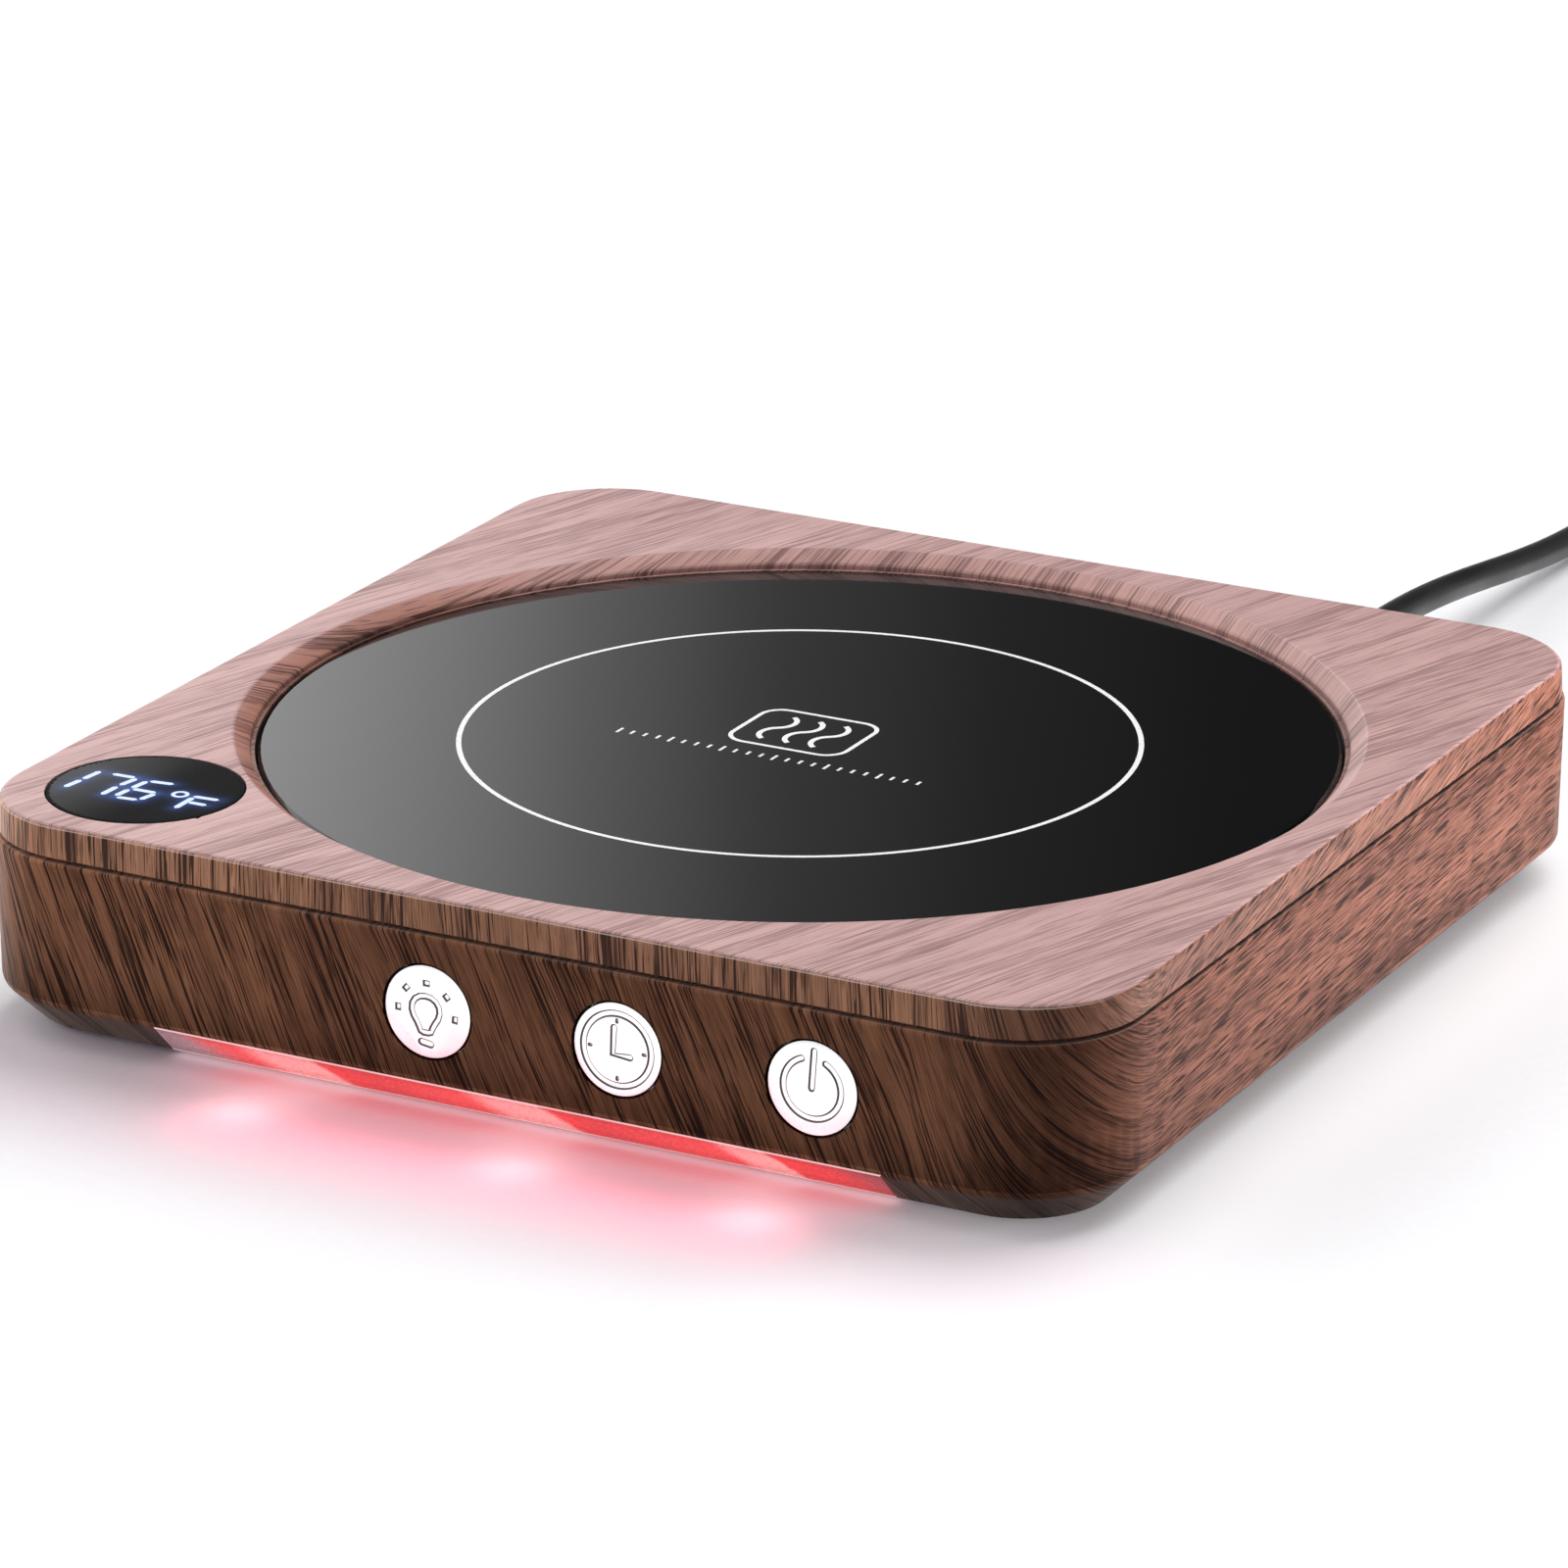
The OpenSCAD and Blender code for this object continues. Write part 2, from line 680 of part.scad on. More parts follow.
module heater_bracket() {
    ear_r = post_r + 0.8;
    color(steel) difference() {
        translate([0, 0, z_bracket]) {
            cylinder(r = bracket_r, h = bracket_t);
            for (a = post_angles) rotate(a) {
                translate([post_circle, 0, 0]) cylinder(r = ear_r, h = bracket_t);
                translate([bracket_r - 4, -ear_r, 0])
                    cube([post_circle - bracket_r + 4, 2 * ear_r, bracket_t]);
            }
        }
        for (a = post_angles) rotate(a) translate([post_circle, 0, z_bracket - past])
            cylinder(r = small_screw_d / 2 + fit, h = bracket_t + 2 * past);
        translate([0, 0, z_bracket - past]) cylinder(r = wire_hole_r, h = bracket_t + 2 * past);
        for (a = [0 : 60 : 300]) rotate(a) translate([bracket_r * 0.62, 0, z_bracket - past])
            cylinder(r = bracket_r * 0.16, h = bracket_t + 2 * past);
    }
}

module bracket_screws() {
    color(silver) for (a = post_angles) rotate(a)
        translate([post_circle, 0, z_bracket - small_head_h]) difference() {
            screw(small_screw_d, bracket_t + bracket_screw_depth, small_head_r, small_head_h);
            screw_cross(small_head_r);
        }
}

module thermal_fuse() {
    z = z_film - fuse_d / 2 - snug;
    color(silver) {
        translate([fuse_x - fuse_len / 2, 0, z]) rotate([0, 90, 0]) cylinder(d = fuse_d, h = fuse_len);
        translate([fuse_lead_x, 0, z]) rotate([0, 90, 0])
            cylinder(r = wire_r, h = fuse_x - fuse_lead_x);
    }
}

module heat_sensor() {
    z = z_film - sensor_d / 2 - snug;
    color(chip_black) {
        translate([sensor_x, 0, z]) sphere(d = sensor_d);
        for (s = [-1, 1]) translate([sensor_x, s * 0.5, z]) rotate([0, 90, 0])
            cylinder(r = sensor_lead_r, h = sensor_lead_x - sensor_x);
    }
}

// Leads from the fuse, the film and the sensor, down the middle and across to their terminal.
module heater_wires() {
    z_top = z_film - fuse_d / 2 - snug;
    z_run = z_bracket - wire_r - lead_lift;
    end = [main_board_at[0] + heater_terminal_at[0] + terminal_size[0] / 2,
           main_board_at[1] + heater_terminal_at[1], z_parts + terminal_size[2] / 2];
    color(lamp_red) for (i = [0 : 3]) {
        x = lead_first_x - i * lead_pitch;
        y_end = end[1] + (1.5 - i) * lead_pitch;
        turn = [end[0] + 8, end[1] - i * lead_spread, z_run - 2 * lead_lift];
        wire([[x, 0, z_top], [x, 0, z_bracket - wire_r], [x - 0.1, 4.8 - i * 0.5, z_run],
              turn, [end[0] + 2, y_end, end[2]], [end[0], y_end, end[2]]],
             up = [0.6, 0.8, 0]);
    }
}

// ---- display ----

module display_window() {
    color(glass_black) translate([window_at[0], window_at[1], body_h - window_t])
        rotate_extrude() polygon([
            [0, 0], [window_r, 0], [window_r, window_t - 0.15], [window_r - 0.15, window_t], [0, window_t]]);
}

module display_module() {
    color(chip_black) translate([module_at[0] - module_w / 2, module_at[1] - module_d / 2, z_module])
        cube([module_w, module_d, module_h]);
}

module display_board() {
    color(board_green) difference() {
        translate([display_board_at[0] - display_board_w / 2,
                   display_board_at[1] - display_board_d / 2, z_display_board])
            cube([display_board_w, display_board_d, board_t]);
        for (p = display_posts) translate([p[0], p[1], z_display_board - past])
            cylinder(r = small_screw_d / 2 + fit, h = board_t + 2 * past);
    }
}

module display_screws() {
    color(silver) for (p = display_posts)
        translate([p[0], p[1], z_display_board - small_head_h]) difference() {
            screw(small_screw_d, board_t + display_screw_depth, small_head_r, small_head_h);
            screw_cross(small_head_r);
        }
}

// ---- buttons ----

// A silver cap that is stopped by its flange behind the wall and pushes a switch with its stem.
module button(i) {
    x = button_x + i * button_pitch;
    cap = y_flange - y_front;
    color(silver) along_y([x, y_front, button_z]) rotate_extrude() polygon(rounded(
        [[0, 0], [button_r, 0], [button_r, cap], [flange_r, cap], [flange_r, cap + flange_t],
         [stem_r, cap + flange_t], [stem_r, cap + flange_t + stem_len],
         [0, cap + flange_t + stem_len]], [0, button_edge_r, 0, 0, 0, 0, 0, 0]));
}

module plunger(i) {
    color(chip_black) along_y([button_x + i * button_pitch, y_plunger, button_z])
        cylinder(r = plunger_r, h = plunger_len);
}

module light_button() { button(0); }
module timer_button() { button(1); }
module power_button() { button(2); }
module light_plunger() { plunger(0); }
module timer_plunger() { plunger(1); }
module power_plunger() { plunger(2); }

module tact_switches() {
    color(steel) for (i = [0 : 2]) difference() {
        translate([button_x + i * button_pitch - switch_w / 2, y_switch, button_z - switch_w / 2])
            cube([switch_w, switch_t, switch_w]);
        along_y([button_x + i * button_pitch, y_switch - past, button_z])
            cylinder(r = plunger_r + snug,
                     h = past + plunger_len - plunger_proud + button_travel + switch_slack);
    }
}

module button_board() {
    color(board_green) difference() {
        translate([button_x - button_board_over, y_button_board, button_z - button_board_down])
            cube([2 * (button_pitch + button_board_over), board_t, button_board_down + button_board_up]);
        for (i = [0, 1])
            along_y([button_x + (i + 0.5) * button_pitch, y_button_board - past, button_z])
                cylinder(r = small_screw_d / 2 + fit, h = board_t + 2 * past);
    }
}

module button_board_screws() {
    color(silver) for (i = [0, 1])
        translate([button_x + (i + 0.5) * button_pitch, y_button_board + board_t + small_head_h, button_z])
            rotate([90, 0, 0]) difference() {
                screw(small_screw_d, board_t + button_screw_depth, small_head_r, small_head_h);
                screw_cross(small_head_r);
            }
}

// ---- light bar ----

// The bar fills the sloped edge and hooks up behind the wall above it.
module light_bar() {
    face = chamfer + draft;
    top = chamfer - 0.1;
    hook_in = slope_in - chamfer + 0.15;
    foot = base_in - 0.25;
    profile = [
        [face - top, top], [face, 0], [foot, 0], [foot, face + bar_t - foot],
        [face + bar_t - top + 1, top - 1], [hook_in + bar_hook_t, top - 1],
        [hook_in + bar_hook_t, top + bar_hook_h], [hook_in, top + bar_hook_h], [hook_in, top]];
    color(lamp_red) translate([bar_left, -half_d, z_base]) rotate([90, 0, 90])
        linear_extrude(bar_len) polygon(profile);
}

module light_board() {
    color(board_green) translate([bar_left + led_board_short, y_led_board, z_floor])
        cube([bar_len - 2 * led_board_short, led_board_t, led_board_h]);
}

module light_diodes() {
    color(felt_white) for (i = [0 : led_count - 1])
        translate([bar_x + led_shift + (i - (led_count - 1) / 2) * led_pitch - led_size[0] / 2,
                   y_led_board - led_size[1], z_floor + led_lift])
            cube(led_size);
}

// ---- main board ----

module main_board() {
    color(board_green) difference() {
        translate([main_board_at[0] - main_board_w / 2, main_board_at[1] - main_board_d / 2, z_main])
            cube([main_board_w, main_board_d, board_t]);
        translate([main_board_at[0], main_board_at[1], z_main - past])
            at_four([main_board_w / 2 - main_hole_in, main_board_d / 2 - main_hole_in])
                cylinder(r = small_screw_d / 2 + fit, h = board_t + 2 * past);
    }
}

module main_board_screws() {
    color(silver) translate([main_board_at[0], main_board_at[1], z_parts + small_head_h])
        at_four([main_board_w / 2 - main_hole_in, main_board_d / 2 - main_hole_in])
            rotate([180, 0, 0]) difference() {
                screw(small_screw_d, board_t + main_screw_depth, small_head_r, small_head_h);
                screw_cross(small_head_r);
            }
}

// Puts a piece on the main board, at a place counted from the board's middle.
module on_board(place) {
    translate([main_board_at[0] + place[0], main_board_at[1] + place[1], z_parts]) children();
}

module block(size) {
    translate([-size[0] / 2, -size[1] / 2, 0]) cube(size);
}

module controller_chip() {
    color(chip_black) on_board(chip_at) block(chip_size);
}

module power_transistor() {
    color(chip_black) on_board([transistor_x, row_y]) block(transistor_size);
}

module choke_coil() {
    color(copper_foil) on_board(choke_at) difference() {
        cylinder(r = choke_r, h = choke_h);
        translate([0, 0, choke_h - past]) cylinder(r = choke_hole_r, h = 2 * past);
    }
}

module capacitors() {
    color(steel) for (x = capacitor_x) on_board([x, row_y])
        cylinder(r = capacitor_r, h = capacitor_h);
}

module cord_terminal() {
    color(felt_white) on_board([cord_x - main_board_at[0],
                                main_board_d / 2 - terminal_size[1] / 2 - cord_terminal_in])
        block(terminal_size);
}

module heater_terminal() {
    color(felt_white) on_board(heater_terminal_at) block(terminal_size);
}

module cable_sockets() {
    color(felt_white) for (x = socket_x)
        on_board([x, -main_board_d / 2 + socket_size[1] / 2]) block(socket_size);
}

// A flat cable: straight out of a board's face or edge, over the base, and straight into a socket.
module cable(socket, start, out) {
    leave = start + out * cable_out;
    z_socket = z_parts + socket_mid;
    mouth = [main_board_at[0] + socket_x[socket], main_board_at[1] - main_board_d / 2, z_socket];
    approach = mouth - [0, cable_approach, 0];
    way = [for (u = [1, 2]) let (p = leave + (approach - leave) * u / 3) [p[0], p[1], z_socket]];
    color(felt_white) swept([start, leave, way[0], way[1], approach, mouth],
        flat_section(cable_size[0], cable_size[1]));
}

module display_cable() {
    cable(0, [display_board_at[0] + display_board_w / 2, display_board_at[1] + 1,
              z_display_board + board_t / 2], [1, 0, 0]);
}

module button_cable() {
    cable(1, [button_x - 2, y_button_board + board_t, button_z - 2.5], [0, 1, 0]);
}

module light_cable() {
    cable(2, [bar_x + bar_len / 4, y_led_board + led_board_t, z_floor + led_board_h / 2], [0, 1, 0]);
}

// ---- cord and what it passes ----

module supply_wires() {
    y_end = main_board_at[1] + main_board_d / 2 - cord_terminal_in;
    z_end = z_parts + terminal_size[2] / 2;
    color(lamp_red) for (s = [-1, 1])
        wire([[cord_x + s * core_pitch / 2, tail_start, cord_z],
              [cord_x + s * core_pitch / 2, tail_start - 2, cord_z],
              [cord_x + s * (core_pitch / 2 + 1), y_end + 2, z_end],
              [cord_x + s * (core_pitch / 2 + 1), y_end, z_end]]);
}

module cord_clamp() {
    color(chip_black) difference() {
        translate([clamp_at[0] - clamp_size[0] / 2, clamp_at[1] - clamp_size[1] / 2, cord_z + saddle_drop])
            cube(clamp_size);
        along_y([clamp_at[0], clamp_at[1] - clamp_size[1], cord_z])
            cylinder(r = cord_d / 2 + snug, h = 2 * clamp_size[1]);
        for (s = [-1, 1]) translate([clamp_at[0] + s * clamp_screw_x, clamp_at[1], cord_z])
            cylinder(r = small_screw_d / 2 + fit, h = clamp_size[2] + past);
    }
}

module clamp_screws() {
    color(silver) for (s = [-1, 1])
        translate([clamp_at[0] + s * clamp_screw_x, clamp_at[1],
                   cord_z + saddle_drop + clamp_size[2] + small_head_h])
            rotate([180, 0, 0]) difference() {
                screw(small_screw_d, clamp_size[2] + clamp_screw_depth, small_head_r, small_head_h);
                screw_cross(small_head_r);
            }
}

// A rubber sleeve: inner flange, neck in the wall, collar and a ribbed taper round the cord.
module strain_relief() {
    bore = cord_d / 2 + snug;
    neck = neck_r - snug;
    flange = 1.2;
    ribs = 5;
    y_taper = 3;
    pitch = (relief_len - y_taper - 2) / ribs;
    function taper(u) = relief_r - (relief_r - relief_tip_r) * u;
    color(rubber_black) along_y([cord_x, half_d, cord_z]) rotate_extrude() polygon(concat(
        [[bore, -inner_in - flange], [relief_flange_r, -inner_in - flange],
         [relief_flange_r, -inner_in - snug],
         [neck, -inner_in - snug], [neck, snug], [relief_r, snug], [relief_r, y_taper]],
        [for (i = [0 : ribs - 1]) let (y = y_taper + i * pitch) each [
            [taper(i / ribs) - 0.6, y + 0.2], [taper(i / ribs) - 0.6, y + pitch * 0.3],
            [taper((i + 0.3) / ribs), y + pitch * 0.4], [taper((i + 1) / ribs), y + pitch]]],
        [[relief_tip_r, relief_len - 0.4], [relief_tip_r - 0.3, relief_len], [bore, relief_len]]));
}

module power_cord() {
    color(rubber_black) {
        swept(cord_run, round_section(cord_d, 8));
        swept(cord_tail, round_section(cord_d, 8));
    }
}

module cord_coil() {
    color(rubber_black) translate([coil_at[0], coil_at[1], 0])
        tube(coil_r + coil_half, coil_r - coil_half, coil_h);
}

// A strap over the coil, with its ends down at the desk inside and outside the turns.
module cord_tie() {
    gap = 0.1;
    outer = coil_r + coil_half + gap;
    inner = coil_r - coil_half - gap;
    color(silver) translate([coil_at[0], coil_at[1], 0]) intersection() {
        difference() {
            tube(outer + tie_t, inner - tie_t, coil_h + gap + tie_t);
            translate([0, 0, -past]) tube(outer, inner, coil_h + gap + past);
        }
        translate([0, coil_r, 0]) block([tie_w, 2 * coil_r, 2 * coil_h]);
    }
}

// One half of the adapter's case, from z_low to z_high.
module adapter_half(z_low, z_high, round_low, round_high) {
    inside = adapter_r / 2;
    translate([adapter_at[0], adapter_at[1] - adapter_len / 2, 0])
        slab(rounded([[inside, z_low], [0, z_low], [0, z_high], [inside, z_high]],
                     [0, round_low ? adapter_edge_r : 0, round_high ? adapter_edge_r : 0, 0]),
             adapter_w, adapter_len, adapter_r);
}

module adapter_case() {
    color(rubber_black) adapter_half(0, adapter_h / 2 - adapter_seam / 2, true, false);
}

module adapter_lid() {
    color(rubber_black) adapter_half(adapter_h / 2 - adapter_seam / 2, adapter_h, false, true);
}

module adapter_boot() {
    bore = cord_d / 2 + snug;
    color(rubber_black) along_y([adapter_at[0], adapter_at[1], boot_z]) rotate_extrude() polygon([
        [bore, 0], [3.6, 0], [3.6, 2], [relief_tip_r + 0.6, boot_len * 0.6],
        [relief_tip_r, boot_len], [bore, boot_len]]);
}

module plug_blades() {
    color(silver) for (s = [-1, 1])
        translate([adapter_at[0] + s * blade_pitch / 2 - blade_size[0] / 2,
                   adapter_at[1] - adapter_len - blade_len,
                   adapter_h / 4 - blade_size[1] / 2])
            cube([blade_size[0], blade_len, blade_size[1]]);
}

top_cover();
lower_housing();
base_cover();
rubber_feet();
base_screws();
glass_plate();
glass_gasket();
heat_spreader();
heating_film();
insulation_pad();
heater_bracket();
bracket_screws();
thermal_fuse();
heat_sensor();
heater_wires();
display_window();
display_module();
display_board();
display_screws();
display_cable();
light_button();
timer_button();
power_button();
light_plunger();
timer_plunger();
power_plunger();
tact_switches();
button_board();
button_board_screws();
button_cable();
light_bar();
light_board();
light_diodes();
light_cable();
main_board();
main_board_screws();
controller_chip();
power_transistor();
choke_coil();
capacitors();
cord_terminal();
heater_terminal();
cable_sockets();
supply_wires();
cord_clamp();
clamp_screws();
strain_relief();
power_cord();
cord_coil();
cord_tie();
adapter_case();
adapter_lid();
adapter_boot();
plug_blades();
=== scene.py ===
"""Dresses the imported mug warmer: its film, glass, print, display, buttons, light bar and cord."""

import json
import logging
import math
from dataclasses import dataclass
from enum import Enum
from functools import cache
from typing import Iterable, Sequence, Union

import bmesh
import bpy
from mathutils import Matrix, Vector


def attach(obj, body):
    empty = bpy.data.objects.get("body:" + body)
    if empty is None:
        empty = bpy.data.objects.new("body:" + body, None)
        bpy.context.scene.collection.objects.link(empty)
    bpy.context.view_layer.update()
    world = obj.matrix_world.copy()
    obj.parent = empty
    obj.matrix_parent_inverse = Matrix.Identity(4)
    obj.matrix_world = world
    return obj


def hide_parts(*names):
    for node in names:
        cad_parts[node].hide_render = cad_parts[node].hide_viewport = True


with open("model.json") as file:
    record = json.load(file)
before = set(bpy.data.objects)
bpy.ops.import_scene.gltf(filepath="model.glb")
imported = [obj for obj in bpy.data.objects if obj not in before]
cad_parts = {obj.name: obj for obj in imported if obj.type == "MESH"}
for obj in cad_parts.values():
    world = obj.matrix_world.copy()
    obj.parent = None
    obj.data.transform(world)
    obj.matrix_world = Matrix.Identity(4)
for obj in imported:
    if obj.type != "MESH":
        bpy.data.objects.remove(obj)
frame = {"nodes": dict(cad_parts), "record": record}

log = logging.getLogger("mug_warmer")

MM = 0.001
CASING = "casing"
NOISE_SPAN = (0.3, 0.7)
SMEAR_SPAN = (0.35, 0.7)
SMEAR_DULLS = 0.03

Point = tuple[float, float, float]
Flat = tuple[float, float]
Colour = tuple[float, float, float, float]
Shape = bmesh.types.BMesh
Node = bpy.types.Node
Socket = bpy.types.NodeSocket
Given = bpy.types.NodeOutputs
Feed = Union[Socket, float, int, Point, Colour]


def rgb(red: float, green: float, blue: float) -> Colour:
    """Returns a linear colour with full alpha."""
    return (red, green, blue, 1.0)


def grey(level: float) -> Colour:
    """Returns a linear grey."""
    return rgb(level, level, level)


class NodeWork:
    """Adds and wires the nodes of one material, world or node group."""

    def __init__(self, tree: bpy.types.NodeTree) -> None:
        """Keeps the node tree that is worked on."""
        self.tree = tree

    def node(self, kind: str, *feeds: Feed, **settings: object) -> Node:
        """Adds one node.

        Args:
            kind: Blender's name for the node type.
            *feeds: What its first inputs take.
            **settings: Properties to set on it.

        Returns:
            The new node.
        """
        made = self.tree.nodes.new(kind)
        for name, value in settings.items():
            setattr(made, name, value)
        for source, socket in zip(feeds, made.inputs):
            self.feed(source, socket)
        return made

    def feed(self, source: Feed, socket: Socket) -> None:
        """Links a socket to a source socket, or sets it to a constant.

        Args:
            source: A socket or a constant, of which as much is used as the socket holds.
            socket: The input.
        """
        if isinstance(source, Socket):
            self.tree.links.new(source, socket)
        else:
            size = len(socket.default_value) if hasattr(socket.default_value, "__len__") else 0
            socket.default_value = source[:size] if size else source

    def fill(self, node: Node, **inputs: Feed) -> Node:
        """Feeds a node's inputs by name.

        Args:
            node: The node.
            **inputs: What each input takes, with _ for a space in its name.

        Returns:
            The same node.
        """
        for name, source in inputs.items():
            self.feed(source, node.inputs[name.replace("_", " ")])
        return node

    def use(self, group: bpy.types.NodeTree, **inputs: Feed) -> Node:
        """Places a node group and feeds its inputs by name."""
        return self.fill(self.node("ShaderNodeGroup", node_tree=group), **inputs)

    def maths(self, operation: str, *values: Feed, clamp: bool = False) -> Socket:
        """Returns the result of a Math node, kept between 0 and 1 where clamp is set."""
        return self.node("ShaderNodeMath", *values, operation=operation, use_clamp=clamp).outputs[0]

    def times(self, first: Feed, second: Feed) -> Socket:
        """Returns a product."""
        return self.maths("MULTIPLY", first, second)

    def rest(self, share: Feed) -> Socket:
        """Returns what a share leaves of 1."""
        return self.maths("SUBTRACT", 1.0, share)

    def either(self, share: Feed, first: Feed, second: Feed) -> Socket:
        """Returns a mix of two values, all of the first at share 1."""
        return self.maths("ADD", self.times(share, first), self.times(self.rest(share), second))

    def scaled(self, vector: Feed, factor: Feed) -> Socket:
        """Returns a vector or a colour times a factor."""
        made = self.node("ShaderNodeVectorMath", vector, operation="SCALE")
        return self.fill(made, Scale=factor).outputs[0]

    def split(self, vector: Feed) -> tuple[Socket, ...]:
        """Returns a vector's x, y and z."""
        return tuple(self.node("ShaderNodeSeparateXYZ", vector).outputs)

    def join(self, x: Feed, y: Feed, z: Feed) -> Socket:
        """Returns a vector of three values."""
        return self.node("ShaderNodeCombineXYZ", x, y, z).outputs[0]

    def place(self) -> Socket:
        """Returns the point on the object, in metres."""
        return self.node("ShaderNodeTexCoord").outputs["Object"]

    def noise(self, vector: Feed, scale: float, detail: float = 2.0, rough: float = 0.5) -> Socket:
        """Adds a Noise Texture.

        Args:
            vector: Where it is read.
            scale: Cells per unit of the vector.
            detail: Octaves.
            rough: How strong the finer octaves are.

        Returns:
            Its value, about 0.5 in the mean.
        """
        made = self.node("ShaderNodeTexNoise")
        self.fill(made, Vector=vector, Scale=scale, Detail=detail, Roughness=rough)
        return made.outputs[0]

    def cells(self, vector: Feed, scale: float) -> Socket:
        """Returns the distance to the nearest cell centre of a Voronoi Texture."""
        made = self.node("ShaderNodeTexVoronoi")
        return self.fill(made, Vector=vector, Scale=scale).outputs["Distance"]

    def step(self, value: Feed, low: Feed, high: Feed, start: Feed = 0.0,
             end: Feed = 1.0) -> Socket:
        """Eases from one result to another.

        Args:
            value: What decides.
            low: Where the result is still start.
            high: Where it has reached end.
            start: The first result.
            end: The last result.

        Returns:
            The eased result.
        """
        made = self.node("ShaderNodeMapRange", value, low, high, start, end,
                         interpolation_type="SMOOTHSTEP")
        return made.outputs[0]

    def between(self, value: Feed, rise: Flat, fall: Flat, full: float = 1.0) -> Socket:
        """Returns a value that eases up from 0 to full over rise, and down again over fall."""
        return self.times(self.step(value, *rise), self.step(value, *fall, full, 0.0))

    def spread(self, noise: Feed, low: Feed, high: Feed) -> Socket:
        """Returns a noise spread out over the values from low to high."""
        return self.step(noise, *NOISE_SPAN, low, high)

    def blend(self, factor: Feed, first: Feed, second: Feed) -> Socket:
        """Adds a Mix node.

        Args:
            factor: The second colour's share, from 0 to 1.
            first: One colour.
            second: The other colour.

        Returns:
            The mixed colour.
        """
        made = self.node("ShaderNodeMix", factor, data_type="RGBA", clamp_factor=True)
        self.feed(first, made.inputs[6])
        self.feed(second, made.inputs[7])
        return made.outputs[2]

    def ramp(self, value: Feed, stops: Sequence[tuple[float, Colour]]) -> Socket:
        """Adds a Color Ramp.

        Args:
            value: What decides, from 0 to 1.
            stops: Each stop's place and colour, in order.

        Returns:
            The colour.
        """
        made = self.node("ShaderNodeValToRGB", value)
        bar = made.color_ramp.elements
        bar[0].position, bar[0].color = stops[0]
        bar[1].position, bar[1].color = stops[-1]
        for place, colour in stops[1:-1]:
            bar.new(place).color = colour
        return made.outputs[0]

    def bump(self, height: Feed, strength: float, distance: float) -> Socket:
        """Returns a normal that a height pattern has tilted."""
        made = self.node("ShaderNodeBump")
        return self.fill(made, Strength=strength, Distance=distance, Height=height).outputs[0]


class Kind(Enum):
    """The kinds of value that a group's socket carries."""

    VALUE = "NodeSocketFloat"
    COLOUR = "NodeSocketColor"
    VECTOR = "NodeSocketVector"


class Effect:
    """A shader node group, built once and shared by the finishes that use it."""

    title: str = ""
    takes: Sequence[tuple[str, Kind]] = ()
    gives: Sequence[tuple[str, Kind]] = ()

    @classmethod
    def tree(cls) -> bpy.types.NodeTree:
        """Builds the group when it is first asked for.

        Returns:
            The group.
        """
        found = bpy.data.node_groups.get(cls.title)
        if found:
            return found
        made = bpy.data.node_groups.new(cls.title, "ShaderNodeTree")
        for way, sockets in (("INPUT", cls.takes), ("OUTPUT", cls.gives)):
            for name, kind in sockets:
                made.interface.new_socket(name=name, in_out=way, socket_type=kind.value)
        work = NodeWork(made)
        inputs = work.node("NodeGroupInput").outputs
        outputs = work.node("NodeGroupOutput").inputs
        for name, value in cls.wire(work, inputs).items():
            work.feed(value, outputs[name])
        return made

    @classmethod
    def wire(cls, work: NodeWork, given: Given) -> dict[str, Feed]:
        """Wires the group.

        Args:
            work: The group's nodes.
            given: The group's inputs.

        Returns:
            What each output takes.
        """
        raise NotImplementedError


@dataclass(frozen=True)
class Fleck:
    """One noise of the film: its cells' width and length in millimetres, its seed and octaves."""

    width: float
    length: float
    seed: float
    octaves: float = 1.0
    ease: float = 0.06


